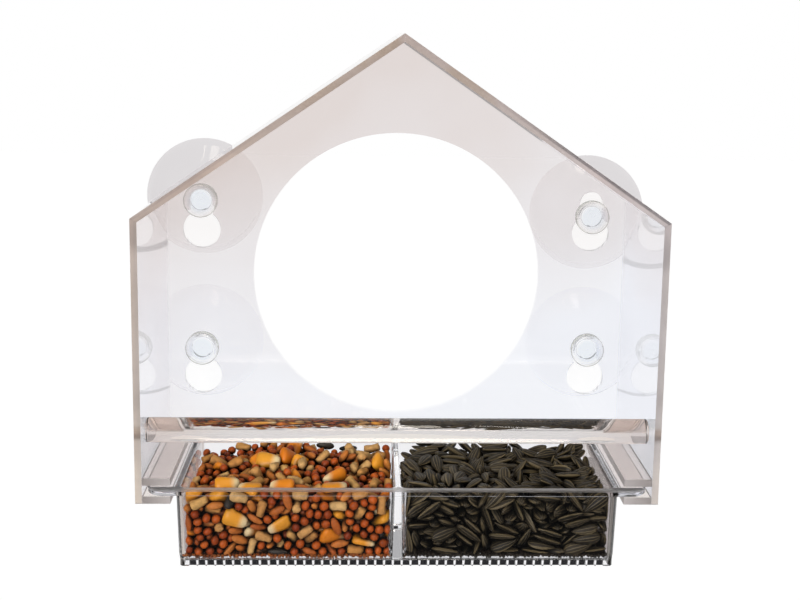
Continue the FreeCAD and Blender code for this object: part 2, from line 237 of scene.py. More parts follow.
def product(tree, first, *others):
    """Several values multiplied."""
    for other in others:
        first = maths(tree, "MULTIPLY", first, other)
    return first


def mixed(tree, share, first, second, blend="MIX"):
    """Colour mix: sockets 6 and 7 of the Mix node are its two colours, and output 2 is the result."""
    sockets = {0: share, 6: opaque(first), 7: opaque(second)}
    return add_node(tree, "ShaderNodeMix", sockets, data_type="RGBA", blend_type=blend).outputs[2]


def blended(tree, share, first, second):
    """Number mix: sockets 2 and 3 of the Mix node are its two numbers, and output 0 is the result."""
    return add_node(tree, "ShaderNodeMix", {0: share, 2: first, 3: second}, data_type="FLOAT").outputs[0]


def spread(tree, value, low, high, to_low=0.0, to_high=1.0):
    """Map a value from one range to another, smoothly and within it."""
    sockets = {"Value": value, "From Min": low, "From Max": high, "To Min": to_low, "To Max": to_high}
    return add_node(tree, "ShaderNodeMapRange", sockets, interpolation_type="SMOOTHSTEP").outputs["Result"]


def noise(tree, place, scale, detail=3.0, roughness=0.5):
    sockets = {"Vector": place, "Scale": scale, "Detail": detail, "Roughness": roughness}
    return add_node(tree, "ShaderNodeTexNoise", sockets).outputs["Fac"]


def stretched(tree, place, scale):
    return add_node(tree, "ShaderNodeMapping", {"Vector": place, "Scale": scale}).outputs[0]


def dot_product(tree, first, second):
    made = add_node(tree, "ShaderNodeVectorMath", {0: first, 1: second}, operation="DOT_PRODUCT")
    return made.outputs["Value"]


def object_place(tree):
    return add_node(tree, "ShaderNodeTexCoord").outputs["Object"]


def parts_of(tree, vector):
    """A vector's X, Y and Z."""
    return add_node(tree, "ShaderNodeSeparateXYZ", {0: vector}).outputs


def point_value(tree, name):
    """A value that the mesh holds for each point."""
    return add_node(tree, "ShaderNodeAttribute", attribute_name=name).outputs["Fac"]


def new_group(name, inputs, outputs):
    """An empty shader node group with named sockets; returns it with its input and output nodes."""
    group = bpy.data.node_groups.new(name, "ShaderNodeTree")
    for socket, kind, start in inputs:
        made = group.interface.new_socket(socket, in_out="INPUT", socket_type=kind)
        made.default_value = start
    for socket, kind in outputs:
        group.interface.new_socket(socket, in_out="OUTPUT", socket_type=kind)
    return group, group.nodes.new("NodeGroupInput"), group.nodes.new("NodeGroupOutput")


FLOAT, VECTOR = "NodeSocketFloat", "NodeSocketVector"
SMEAR_NOISE, SMEAR_SPAN = (38.0, 4.0, 0.6), (0.45, 0.75)
HAIRLINE_STRETCH = (900.0, 60.0, 40.0)
HAIRLINE_NOISE, HAIRLINE_SPAN = (1.0, 2.0), (0.66, 0.74)
WAVE_NOISE, WAVE_STRENGTH = (14.0, 2.0), 0.1
USUAL_MARK = 0.02
POLISH = 0.015
# Faces whose normal has less than this share along the broad faces' normal are cut edges
BROAD_SHARE = 0.7


def make_handling_group():
    """Handling marks on clear plastic: soft smears and fine hairlines that roughen it a little."""
    group, given, result = new_group(
        "handling_marks",
        [("Smear", FLOAT, USUAL_MARK), ("Hairline", FLOAT, USUAL_MARK)],
        [("Roughness", FLOAT), ("Height", FLOAT)],
    )
    place = object_place(group)
    smears = spread(group, noise(group, place, *SMEAR_NOISE), *SMEAR_SPAN)
    lines = noise(group, stretched(group, place, HAIRLINE_STRETCH), *HAIRLINE_NOISE)
    hairlines = spread(group, lines, *HAIRLINE_SPAN)
    smear = product(group, smears, given.outputs["Smear"])
    total = maths(group, "MULTIPLY_ADD", hairlines, given.outputs["Hairline"], smear)
    group.links.new(maths(group, "ADD", total, POLISH), result.inputs["Roughness"])
    group.links.new(noise(group, place, *WAVE_NOISE), result.inputs["Height"])
    return group


def make_cut_edge_group():
    """Cut edges of a sheet: 1 on faces that turn away from the sheet's broad faces, 0 on those."""
    group, given, result = new_group(
        "cut_edges", [("Broad Face", VECTOR, (0.0, 1.0, 0.0))], [("Mask", FLOAT)]
    )
    facing = add_node(group, "ShaderNodeNewGeometry").outputs["True Normal"]
    flat = maths(group, "ABSOLUTE", dot_product(group, facing, given.outputs["Broad Face"]))
    group.links.new(maths(group, "LESS_THAN", flat, BROAD_SHARE), result.inputs["Mask"])
    return group


HANDLING = make_handling_group()
CUT_EDGES = make_cut_edge_group()


def cut_edges(tree, broad_face):
    """The mask of a sheet's cut edges, for a sheet whose broad faces look this way."""
    return add_node(tree, "ShaderNodeGroup", {"Broad Face": broad_face}, node_tree=CUT_EDGES).outputs["Mask"]


def new_material(name):
    """A material with an empty tree and its output node."""
    material = bpy.data.materials.new(name)
    material.use_nodes = True
    tree = material.node_tree
    tree.nodes.clear()
    return material, tree, tree.nodes.new("ShaderNodeOutputMaterial")


def finish_clear(tree, output, colour, ior, marks, shade, frosted=None, welded=None):
    """Clear plastic: refracting, with handling marks (smear, hairline, wave), rougher where it is frosted,
    and letting most light through to what is behind it. Light goes straight through a welded joint."""
    smear, hairline, wave = marks
    worn = add_node(tree, "ShaderNodeGroup", {"Smear": smear, "Hairline": hairline}, node_tree=HANDLING)
    ripple = {"Height": worn.outputs["Height"], "Strength": WAVE_STRENGTH, "Distance": wave}
    roughness = worn.outputs["Roughness"]
    if frosted:
        mask, level = frosted
        roughness = maths(tree, "MULTIPLY_ADD", mask, level, roughness)
    sockets = {
        "Base Color": colour,
        "Roughness": roughness,
        "IOR": ior,
        "Transmission Weight": 1.0,
        "Normal": add_node(tree, "ShaderNodeBump", ripple).outputs["Normal"],
    }
    if welded:
        sockets["Alpha"] = maths(tree, "SUBTRACT", 1.0, welded)
    clear = add_node(tree, "ShaderNodeBsdfPrincipled", sockets)
    through = add_node(tree, "ShaderNodeBsdfTransparent", {"Color": opaque(shade)})
    straight = add_node(tree, "ShaderNodeLightPath").outputs["Is Shadow Ray"]
    both = add_node(tree, "ShaderNodeMixShader", {0: straight, 1: clear.outputs[0], 2: through.outputs[0]})
    tree.links.new(both.outputs[0], output.inputs["Surface"])


# Clear plastics: smear, hairline and wave of each, and the light that it lets through

ACRYLIC_IOR, STYRENE_IOR, VINYL_IOR = 1.49, 1.58, 1.3
SHEET_MARKS, SHEET_SHADE = (0.03, 0.03, 0.0002), (0.9, 0.88, 0.88)
ROD_MARKS, ROD_SHADE = (0.02, 0.02, 0.0001), (0.92, 0.91, 0.9)
TRAY_MARKS, TRAY_SHADE = (0.03, 0.04, 0.0002), (0.93, 0.93, 0.94)
CUP_MARKS, CUP_SHADE = (0.08, 0.02, 0.0003), (0.94, 0.94, 0.95)

# Sheets: each span is where an effect starts and ends, in metres or in levels of noise
SHEET_TINTS = ((0.94, 0.955, 1.0), (0.80, 0.73, 0.71))
WALL_TINTS = ((0.86, 0.87, 0.92), (0.76, 0.69, 0.68))
TINT_RISE = (-0.05, 0.085)
LEFTWARD = 2.4
CLOUD_NOISE, CLOUD_SPAN = (22.0, 2.0), (0.3, 0.7, -0.1, 0.1)
EDGE_FROST = 0.4
LEFT_EDGE, RIGHT_EDGE = (1.0, 0.78, 0.63), (0.91, 0.77, 0.73)
EDGE_SPAN = (-0.09, 0.09)
# Painted shade on the sawn front edges: darker towards the bottom, inwards, and in a line beside the outer
# face
LOW_EDGE_SHADE, LOW_SPAN = (0.52, 0.50, 0.46), (0.028, 0.005)
SAW_MARK, SAW_STRETCH = (0.34, 0.27, 0.24), (1.0, 0.05, 1.0)
SAW_NOISE, SAW_SPAN = (160.0, 3.0, 0.65), (0.3, 0.7, 0.0, 0.15)
AMBER, AMBER_RISE = (0.60, 0.38, 0.15), (0.05, 0.085)
STAIN_NOISE, STAIN_SPAN, STAIN_SHARE = (45.0, 2.0), (0.46, 0.6), 0.5
EDGE_SHADE_UMBER = (0.20, 0.17, 0.17)
INNER_SPAN, INNER_SHARE = (0.0, 0.0023), 0.25
LINE_SPAN, LINE_RISE = (0.0013, 0.0007), (0.075, 0.05)
# The front edges are saw-cut; the others are welded to a neighbour or polished
FRONT_EDGE = -0.0705
KEYHOLE_ASIDE, KEYHOLE_REACH, KEYHOLE_TOP = 0.0735, 0.0115, 0.035
KEYHOLE_OUTLINE = 0.35


def saw_cut(tree, place, colour):
    """A saw-cut edge: the colour, darker in streaks that run through the sheet."""
    streaks = noise(tree, stretched(tree, place, SAW_STRETCH), *SAW_NOISE)
    return mixed(tree, spread(tree, streaks, *SAW_SPAN), colour, SAW_MARK)


def make_sheet_material(name, broad_face, tints=SHEET_TINTS, outer=None, inward=0.0, shade_line=0.0, keyholes=0.0):
    """Clear acrylic sheet: a warm tint that deepens upwards and to the left, and frosted saw-cut front
    edges, pinker on the right, with amber stains near the ridge. Given the outer face's distance from the
    origin, the front edge gets painted shade: darker towards the bottom and inwards, as on the walls, or in a
    line beside that face, as on the roof. Keyholes can keep some of the outline that the other edges lose."""
    material, tree, output = new_material(name)
    place = object_place(tree)
    across, depth, height = parts_of(tree, place)
    cloud = spread(tree, noise(tree, place, *CLOUD_NOISE), *CLOUD_SPAN)
    rise = maths(tree, "ADD", spread(tree, height, *TINT_RISE), cloud)
    face = mixed(tree, maths(tree, "MULTIPLY_ADD", across, -LEFTWARD, rise), *tints)
    edges = cut_edges(tree, broad_face)
    sawn = product(tree, edges, maths(tree, "LESS_THAN", depth, FRONT_EDGE))
    aside = maths(tree, "SUBTRACT", maths(tree, "ABSOLUTE", across), KEYHOLE_ASIDE)
    near = maths(tree, "LESS_THAN", maths(tree, "ABSOLUTE", aside), KEYHOLE_REACH)
    near = product(tree, near, maths(tree, "LESS_THAN", height, KEYHOLE_TOP))
    lost = maths(tree, "MULTIPLY_ADD", near, -keyholes, 1.0)
    welded = product(tree, maths(tree, "SUBTRACT", edges, sawn), lost)
    edge = saw_cut(tree, place, mixed(tree, spread(tree, across, *EDGE_SPAN), LEFT_EDGE, RIGHT_EDGE))
    stain = product(tree, spread(tree, noise(tree, place, *STAIN_NOISE), *STAIN_SPAN), STAIN_SHARE)
    edge = mixed(tree, product(tree, stain, spread(tree, height, *AMBER_RISE)), edge, AMBER)
    # Painted shade on the front edge
    if outer:
        edge = mixed(tree, spread(tree, height, *LOW_SPAN, 0.0, inward), edge, LOW_EDGE_SHADE, "MULTIPLY")
        sunk = maths(tree, "SUBTRACT", outer, maths(tree, "ABSOLUTE", dot_product(tree, place, broad_face)))
        inside = spread(tree, sunk, *INNER_SPAN, 0.0, INNER_SHARE * inward)
        beside = product(tree, spread(tree, sunk, *LINE_SPAN), spread(tree, height, *LINE_RISE))
        edge = mixed(tree, maths(tree, "MULTIPLY_ADD", beside, shade_line, inside), edge, EDGE_SHADE_UMBER)
    colour = mixed(tree, sawn, face, edge)
    finish_clear(tree, output, colour, ACRYLIC_IOR, SHEET_MARKS, SHEET_SHADE, (sawn, EDGE_FROST), welded)
    return material


RAIL_TINTS = ((0.95, 0.89, 0.86), (0.89, 0.83, 0.80))
RAIL_EDGE = (0.93, 0.86, 0.82)
STRIP_NOISE = (30.0, 2.0)


def make_rail_material():
    """Clear acrylic strip, a little pink, with frosted saw-cut edges."""
    material, tree, output = new_material("clear_rail_strip")
    place = object_place(tree)
    face = mixed(tree, noise(tree, place, *STRIP_NOISE), *RAIL_TINTS)
    edges = cut_edges(tree, (0.0, 0.0, 1.0))
    colour = mixed(tree, edges, face, saw_cut(tree, place, RAIL_EDGE))
    finish_clear(tree, output, colour, ACRYLIC_IOR, SHEET_MARKS, SHEET_SHADE, (edges, EDGE_FROST))
    return material


# The rod's ends get painted shade, beige
ROD_TINTS, ROD_END_SHADE = ((0.87, 0.82, 0.78), (0.81, 0.77, 0.73)), (0.80, 0.72, 0.67)
END_SHADE_SPAN = (0.055, 0.085)


def make_rod_material():
    """Clear acrylic rod, a little creamy, with beige painted shade towards its ends, where it goes into the
    walls.
    """
    material, tree, output = new_material("clear_rod")
    place = object_place(tree)
    ends = spread(tree, maths(tree, "ABSOLUTE", parts_of(tree, place)["X"]), *END_SHADE_SPAN)
    colour = mixed(tree, noise(tree, place, *STRIP_NOISE), *ROD_TINTS)
    finish_clear(tree, output, mixed(tree, ends, colour, ROD_END_SHADE), ACRYLIC_IOR, ROD_MARKS, ROD_SHADE)
    return material


TRAY_TINTS, TRAY_NOISE = ((0.97, 0.97, 0.985), (0.9, 0.895, 0.92)), (26.0, 2.0)
# Painted shade in the end walls, beyond this distance from the middle
TRAY_END, END_WALL_SHADE = 0.07, (0.56, 0.51, 0.50)
# The solid corners between the front wall and the end walls, by their distance from the middle, which get
# painted shade
POST_FROM, POST_TO, POST_BLUR = 0.0734, 0.0750, 0.0004
POST_FRONT = -0.066
LEFT_POST_SHADE, RIGHT_POST_SHADE = (0.55, 0.47, 0.41), (0.06, 0.052, 0.044)
# The tray's front rim lies before this depth and above this height
RIM_DEPTH, RIM_HEIGHT = -0.0684, -0.0625
RIM_TINT, RIM_FROST = (0.97, 0.93, 0.92), 0.8
NOTCH_PAINTED_SHADE = (0.0008, 0.0008, 0.001)


def make_moulding_material():
    """Clear moulded styrene, faintly violet, with painted shade: greyer in the end walls and deeper in the
    front corners; frosted along the rim."""
    material, tree, output = new_material("clear_moulding")
    place = object_place(tree)
    colour = mixed(tree, noise(tree, place, *TRAY_NOISE), *TRAY_TINTS)
    across, depth, height = parts_of(tree, place)
    aside = maths(tree, "ABSOLUTE", across)
    # Painted shade: the end walls are greyer
    upright = maths(tree, "SUBTRACT", 1.0, cut_edges(tree, (1.0, 0.0, 0.0)))
    end = product(tree, maths(tree, "GREATER_THAN", aside, TRAY_END), upright)
    colour = mixed(tree, end, colour, END_WALL_SHADE)
    # Painted shade in the solid front corners, deepest on the right
    shaded_post = product(
        tree,
        spread(tree, aside, POST_FROM - POST_BLUR, POST_FROM),
        spread(tree, aside, POST_TO + POST_BLUR, POST_TO),
        maths(tree, "LESS_THAN", depth, POST_FRONT),
        maths(tree, "LESS_THAN", height, RIM_HEIGHT),
    )
    post_shade = mixed(tree, maths(tree, "GREATER_THAN", across, 0.0), LEFT_POST_SHADE, RIGHT_POST_SHADE)
    colour = mixed(tree, shaded_post, colour, post_shade)
    # Painted shade in the notches' inner ends
    colour = mixed(tree, point_value(tree, "notch"), colour, NOTCH_PAINTED_SHADE)
    above = maths(tree, "GREATER_THAN", height, RIM_HEIGHT)
    rim = product(tree, above, maths(tree, "LESS_THAN", depth, RIM_DEPTH))
    colour = mixed(tree, rim, colour, RIM_TINT)
    finish_clear(tree, output, colour, STYRENE_IOR, TRAY_MARKS, TRAY_SHADE, (rim, RIM_FROST))
    return material


LOW_CUPS = ((1.0, 1.0, 1.0), (0.985, 0.985, 1.0))
HIGH_CUPS = ((0.98, 0.965, 0.96), (0.93, 0.91, 0.905))
CUP_RISE, HAZE_NOISE = (-0.02, 0.02), (60.0, 3.0)
BEYOND_ROOF, BEYOND_TINT = (0.0895, 0.092), (0.77, 0.76, 0.775)
HEAD_RIM_SHADE_COLOUR, CROWN_TINT = (0.50, 0.51, 0.46), (0.70, 0.76, 0.84)


def make_vinyl_material():
    """Soft clear vinyl with a faint haze, warmer and deeper on the upper cups, most of all beyond the
    roof, and with painted shade round the heads' rounded sides."""
    material, tree, output = new_material("soft_vinyl")
    place = object_place(tree)
    across, depth, height = parts_of(tree, place)
    above = maths(tree, "MULTIPLY_ADD", maths(tree, "ABSOLUTE", across), ROOF_RISE / HALF_WIDTH, height)
    haze = noise(tree, place, *HAZE_NOISE)
    low, high = mixed(tree, haze, *LOW_CUPS), mixed(tree, haze, *HIGH_CUPS)
    colour = mixed(tree, spread(tree, height, *CUP_RISE), low, high)
    colour = mixed(tree, spread(tree, above, *BEYOND_ROOF), colour, BEYOND_TINT, "MULTIPLY")
    # Painted shade round the head's rounded side
    colour = mixed(tree, point_value(tree, "ring"), colour, HEAD_RIM_SHADE_COLOUR)
    colour = mixed(tree, point_value(tree, "crown"), colour, CROWN_TINT)
    finish_clear(tree, output, colour, VINYL_IOR, CUP_MARKS, CUP_SHADE)
    return material


# House: the sheets keep their CAD shape

# Strength of the painted shade line beside each roof's outer face
ROOF_SHADE_LINES = {"left": 0.3, "right": 1.0}


def dress_sheets():
    """Give each glued sheet its clear material, by the way its broad faces look."""
    slope = unit(np.array([ROOF_RISE, 0.0, HALF_WIDTH]))
    ridge = node_box("left_roof_panel")[1][2]
    wall = make_sheet_material("clear_wall_sheet", (1.0, 0.0, 0.0), WALL_TINTS, HALF_WIDTH * MM, inward=1.0)
    rail = make_rail_material()
    back = make_sheet_material("clear_back_sheet", (0.0, 1.0, 0.0), keyholes=KEYHOLE_OUTLINE)
    finishes = {"back_panel": back}
    for side, sign in SIDES.items():
        finishes[f"{side}_side_wall"] = wall
        finishes[f"{side}_upper_rail"] = rail
        finishes[f"{side}_lower_rail"] = rail
        tilt = (sign * slope[0], 0.0, slope[2])
        finishes[f"{side}_roof_panel"] = make_sheet_material(
            f"clear_{side}_roof_sheet", tilt, SHEET_TINTS, ridge * slope[2] * MM, shade_line=ROOF_SHADE_LINES[side]
        )
    for node, material in finishes.items():
        sheet = frame["nodes"][node]
        sheet.data.materials.clear()
        sheet.data.materials.append(material)


# Perch rod

SPIGOT_RADIUS, SPIGOT_ROUND = 2.05, 0.2
ROD_CHAMFER = 0.35
ROD_GAP = 0.06
ROD_STEPS, ROD_SPOKES = 4, 96


def make_perch_rod():
    """Turned rod: thin spigot, chamfered shoulder, long shank, and the same again."""
    low, high = node_box("perch_rod")
    radius = (high[2] - low[2]) / 2
    shoulder = node_box("right_side_wall")[0][0] - ROD_GAP
    half = [
        (high[0], 0, 0),
        (high[0], SPIGOT_RADIUS, SPIGOT_ROUND),
        (shoulder, SPIGOT_RADIUS, 0),
        (shoulder, radius, ROD_CHAMFER),
        (0, radius, 0),
    ]
    end = rounded(half, ROD_STEPS)
    profile = np.concatenate([end, (end * [-1, 1])[::-1][1:]])
    points, faces = turned(profile, ROD_SPOKES)
    points += [0, (low[1] + high[1]) / 2, (low[2] + high[2]) / 2]
    mesh = new_mesh("clear_perch_rod", points, faces)
    return add_piece(mesh, make_rod_material(), "house", ["perch_rod"])


# Suction cups

CUP_HOLLOW = 4.5
CUP_MOUTH = 21.0
CUP_STEPS, CUP_SPOKES, HOLLOW_RINGS = 5, 96, 14
# Corners as (height, radius, rounding): nib, moulded ring, crown, head and top of the neck, from the top
CUP_HEAD = [
    (-0.5, 0, 0),
    (-0.5, 0.6, 0.2),
    (-0.25, 0.9, 0.1),
    (-0.25, 1.5, 0.1),
    (-0.12, 1.8, 0.1),
    (-0.2, 3.2, 0.3),
    (-0.1, 3.6, 0.2),
    (0.0, 5.3, 0.5),
    (-0.7, 6.35, 0.6),
    (-3.2, 6.35, 0.5),
    (-4.0, 5.6, 0.4),
    (-4.0, 4.0, 0.15),
]
# Foot of the neck, shoulder and domed skirt, from the pane; then the lip, by how far inside the rim it is
CUP_SKIRT = [(8.7, 4.0, 0.7), (8.45, 7.0, 8.0), (6.6, 14.0, 18.0), (3.0, 20.3, 7.0)]
CUP_LIP = [(0.9, 0.1, 0.5), (0.0, 0.4, 0.25)]
# Tints on the head: painted shade in a ring round its rounded side grows from this radius over this width;
# the crown's share goes by radius
RING_FROM, RING_WIDTH, RING_DEPTH = 5.7, 0.6, 4.1
CROWN_RADII, CROWN_SHARES, CROWN_DEPTH = (4.0, 4.2, 5.4, 5.6), (1.0, 0.35, 0.35, 0.0), 0.6


def cup_profile(depth, radius):
    """Profile of a cup as (distance from the pane, radius): a nearly flat crown with a moulded ring and nib,
    head, neck, shoulder, domed skirt, thin lip, then the hollow, which is an arc of a sphere."""
    head = [(depth + height, out, rounding) for height, out, rounding in CUP_HEAD]
    lip = [(height, radius - inset, rounding) for height, inset, rounding in CUP_LIP]
    skin = rounded([*head, *CUP_SKIRT, *lip, (0.0, CUP_MOUTH, 0)], CUP_STEPS)
    ball = (CUP_MOUTH**2 + CUP_HOLLOW**2) / (2 * CUP_HOLLOW)
    reach = np.linspace(CUP_MOUTH, 0, HOLLOW_RINGS)[1:]
    hollow = CUP_HOLLOW - ball + np.sqrt(ball**2 - reach**2)
    return np.concatenate([skin, np.column_stack([hollow, reach])])


def make_cups():
    """The four cups, each turned about its own axis, which points away from the pane."""
    vinyl = make_vinyl_material()
    for row in ROWS:
        for side in SIDES:
            node = f"suction_cup_{row}_{side}"
            low, high = node_box(node)
            middle = (low + high) / 2
            depth = high[1] - low[1]
            points, faces = turned(cup_profile(depth, (high[0] - low[0]) / 2), CUP_SPOKES)
            radius = np.hypot(points[:, 1], points[:, 2])
            ring = np.clip((radius - RING_FROM) / RING_WIDTH, 0, 1) * (points[:, 0] > depth - RING_DEPTH)
            crown = np.interp(radius, CROWN_RADII, CROWN_SHARES) * (points[:, 0] > depth - CROWN_DEPTH)
            placed = np.column_stack([middle[0] + points[:, 1], -points[:, 0], middle[2] + points[:, 2]])
            mesh = new_mesh(f"vinyl_cup_{row}_{side}", placed, faces, ring=ring, crown=crown)
            add_piece(mesh, vinyl, f"cup_{row}_{side}", [node])


# Seed tray

TRAY_DRAFT = math.radians(1.5)
FLANGE = {"thickness": 2.2, "corner": 5.0, "edge": 0.5, "root": 0.7}
BLOCK = {"half_x": 75.94, "half_y": 28.75, "height": 25.8, "corner": 4.0, "edge": 1.4}
BAY = {"half_x": 36.57, "half_y": 26.95, "depth": 25.6, "corner": 2.2, "middle": 37.57, "edge": 0.5}
BAY_HEEL, BAY_SHELF, BAY_TAPER, BAY_LEAST = 0.6, 4.0, 0.2, 0.6
BAY_POINTS = 7
FOOT = {"inset": 0.6, "wall": 1.6, "height": 2.4, "pitch": 3.05, "recess": 1.6, "root": 0.15, "step": 0.2}
NOTCH = {"height": 2.1, "width": 2.4, "slope": 0.08}
# Loops under the foot, by inset from its outside and whether the notches are cut into them
NOTCH_LOOPS = ((0.0, 1), (0.7, 1), (0.75, 0), (FOOT["wall"], 0))
FOOT_CORNER = 0.9
CORNER_STEPS, SECTION_STEPS = 9, 5


def notch_shares(half, reach):
    """Shares along a straight side where the notches start and end, and whether each lies in a notch.
    Each notch gives four points: just before it, its two ends, and just after it."""
    slope, width = NOTCH["slope"], NOTCH["width"]
    count = int(2 * (half - FOOT["wall"]) // FOOT["pitch"])
    starts = (np.arange(count) - (count - 1) / 2) * FOOT["pitch"] - width / 2
    steps = np.array([-slope, slope, width - slope, width + slope])
    places = (starts[:, None] + steps).ravel()
    inside = np.tile([0.0, 1.0, 1.0, 0.0], count)
    keep = np.abs(places) < reach
    return places[keep] / reach, inside[keep]


def tray_skin(flange_x, flange_y, foot_x, foot_y):
    """Loops over the flange, down the outer wall, round the notched foot and under the floor, from the rim's
    height, with how much painted shade each point gets."""
    lean = math.tan(TRAY_DRAFT)
    shares_x, notched_x = notch_shares(foot_x, foot_x - FOOT["wall"])
    shares_y, notched_y = notch_shares(foot_y, foot_y - FOOT["wall"])
    plan = (shares_x, shares_y, CORNER_STEPS)
    corner = np.zeros(CORNER_STEPS)
    notched = np.concatenate([notched_x, corner, notched_y, corner] * 2)
    floor, under = -BLOCK["height"], -FLANGE["thickness"]
    # Section of the outer skin: how far each loop lies outside the foot's outline, and its height
    out_flange = flange_x - foot_x
    out_top = BLOCK["half_x"] + under * lean - foot_x
    out_floor = FOOT["inset"]
    section = [
        (out_flange - 2 * FLANGE["edge"], 0, 0),
        (out_flange, 0, FLANGE["edge"]),
        (out_flange, under, FLANGE["edge"]),
        (out_top, under, FLANGE["root"]),
        (out_floor, floor, BLOCK["edge"]),
        (0, floor, FOOT["root"]),
        (0, floor - FOOT["step"], 0),
    ]
    tuck = flange_x - flange_y - (BLOCK["half_x"] - BLOCK["half_y"])
    radii = [FOOT["wall"], BLOCK["corner"], FLANGE["corner"]]
    loops = []
    for out, height in rounded(section, SECTION_STEPS):
        # The flange stands out further at the sides than at the front and back
        flare = np.clip((out - out_top) / (out_flange - out_top), 0, 1) * tuck
        radius = np.interp(out, [0, out_floor, out_flange], radii)
        loops.append(rounded_rectangle(foot_x + out, foot_y + out - flare, radius, height, *plan))
    notch_shades = [np.zeros(len(notched))] * len(loops)
    # The notches are cut into the outer half of the foot's wall, and their inner ends get painted shade, near
    # black
    bottom = floor - FOOT["height"]
    for inset, cut in NOTCH_LOOPS:
        radius = FOOT["wall"] - inset * FOOT_CORNER
        loop = rounded_rectangle(foot_x - inset, foot_y - inset, radius, bottom, *plan)
        loop[:, 2] += cut * notched * NOTCH["height"]
        loops.append(loop)
        notch_shades.append(notched * (inset > 0) * (inset < FOOT["wall"]))
    inner = loops[-1].copy()
    inner[:, 2] = bottom + FOOT["recess"]
    return [*loops, inner], [*notch_shades, np.zeros(len(notched))]


def bay_skin(sign):
    """Loops of one bay, from the mouth down to the floor."""
    foot = -BAY["depth"] * math.tan(TRAY_DRAFT)
    even = np.linspace(-1, 1, BAY_POINTS)
    section = [
        (2 * BAY["edge"], 0, 0),
        (0, 0, BAY["edge"]),
        (foot, -BAY["depth"], BAY_HEEL),
        (foot - BAY_SHELF, -BAY["depth"], 0),
    ]
    loops = []
    for out, height in rounded(section, SECTION_STEPS):
        radius = max(BAY["corner"] + min(out, 0) * BAY_TAPER, BAY_LEAST)
        half_x, half_y = BAY["half_x"] + out, BAY["half_y"] + out
        loop = rounded_rectangle(half_x, half_y, radius, height, even, even, CORNER_STEPS)
        loops.append(loop + [sign * BAY["middle"], 0, 0])
    return loops


def make_tray():
    """One moulding: the outer skin and the two bays are lofted, each shut by a level face at its lower end,
    and a level face fills the rim round the bays."""
    low, high = node_box("seed_tray")
    middle = (low + high) / 2
    shrink = BLOCK["height"] * math.tan(TRAY_DRAFT)
    foot_x = BLOCK["half_x"] - shrink - FOOT["inset"]
    foot_y = BLOCK["half_y"] - shrink - FOOT["inset"]
    skin, notch_shades = tray_skin((high[0] - low[0]) / 2, (high[1] - low[1]) / 2, foot_x, foot_y)
    points, faces, rims, numbers = [], [], [], []
    total = 0
    for loops in [skin, *(bay_skin(sign) for sign in SIDES.values())]:
        count = len(loops[0])
        points.append(np.concatenate(loops))
        faces += loft_faces(total, len(loops), count)
        rims.append(loops[0])
        numbers.append(np.arange(total, total + count))
        total += len(loops) * count
        faces += level_face([loops[-1]], [np.arange(total - count, total)])
    faces += level_face(rims, numbers)
    placed = np.concatenate(points) + [middle[0], middle[1], high[2]]
    notch = np.zeros(len(placed))
    notch[: len(points[0])] = np.concatenate(notch_shades)
    mesh = new_mesh("clear_seed_tray", placed, faces, notch=notch)
    return add_piece(mesh, make_moulding_material(), "tray", ["seed_tray"])


# Seeds: shapes


def seed_shape(rings, spokes, length, width, thickness, swell=None):
    """A seed along X: ring s (-1 to 1, closer together towards the ends) is the ellipse
    (s length / 2, width(s) cos a, thickness(s) sin a), swollen by the factor swell(s, a).
    Returns points, faces and, for each point, its share along the seed and across it."""
    share = -np.cos(np.linspace(0, math.pi, rings + 1))[1:-1]
    along, around = np.meshgrid(share, np.linspace(0, TAU, spokes, endpoint=False), indexing="ij")
    factor = swell(along, around) if swell else np.ones_like(along)
    across = width(along) * np.cos(around) * factor
    upward = thickness(along) * np.sin(around) * factor
    surface = np.stack([along * length / 2, across, upward], -1)
    points, faces = closed_surface(surface, (-length / 2, 0, 0), (length / 2, 0, 0))
    spread_out = np.stack([along.ravel(), np.cos(around).ravel()], -1)
    places = np.concatenate([spread_out, [[-1, 0], [1, 0]]]) / 2 + 0.5
    return points, faces, places


def oval(s):
    return np.sqrt(1 - s**2)


def blunt(s, power):
    """Half-width of a rounded bar: flat along the middle, closing quickly at both ends."""
    return (1 - np.abs(s) ** power) ** (1 / power)


def teardrop(s, sharp):
    """Half-width of a seed that is blunt at one end and pointed at the other, at most about 1."""
    return 0.955 * (1 + s) ** 0.5 * (1 - s) ** sharp


def lens(s, a):
    """Pinch the rim of a round section so that both faces meet in an edge."""
    return 1 - 0.12 * np.abs(np.sin(2 * a))


def crease(s, a):
    """A groove along the underside."""
    return 1 - 0.3 * np.exp(-(((a - 0.75 * TAU) / 0.45) ** 2))


def lumps(s, a):
    """Uneven crumb: three slow waves over the surface."""
    slow = 1 + 0.12 * np.sin(2 * a + 3 * s + 0.7)
    return slow + 0.1 * np.sin(3 * a - 4 * s) + 0.05 * np.sin(5 * a + 6 * s)


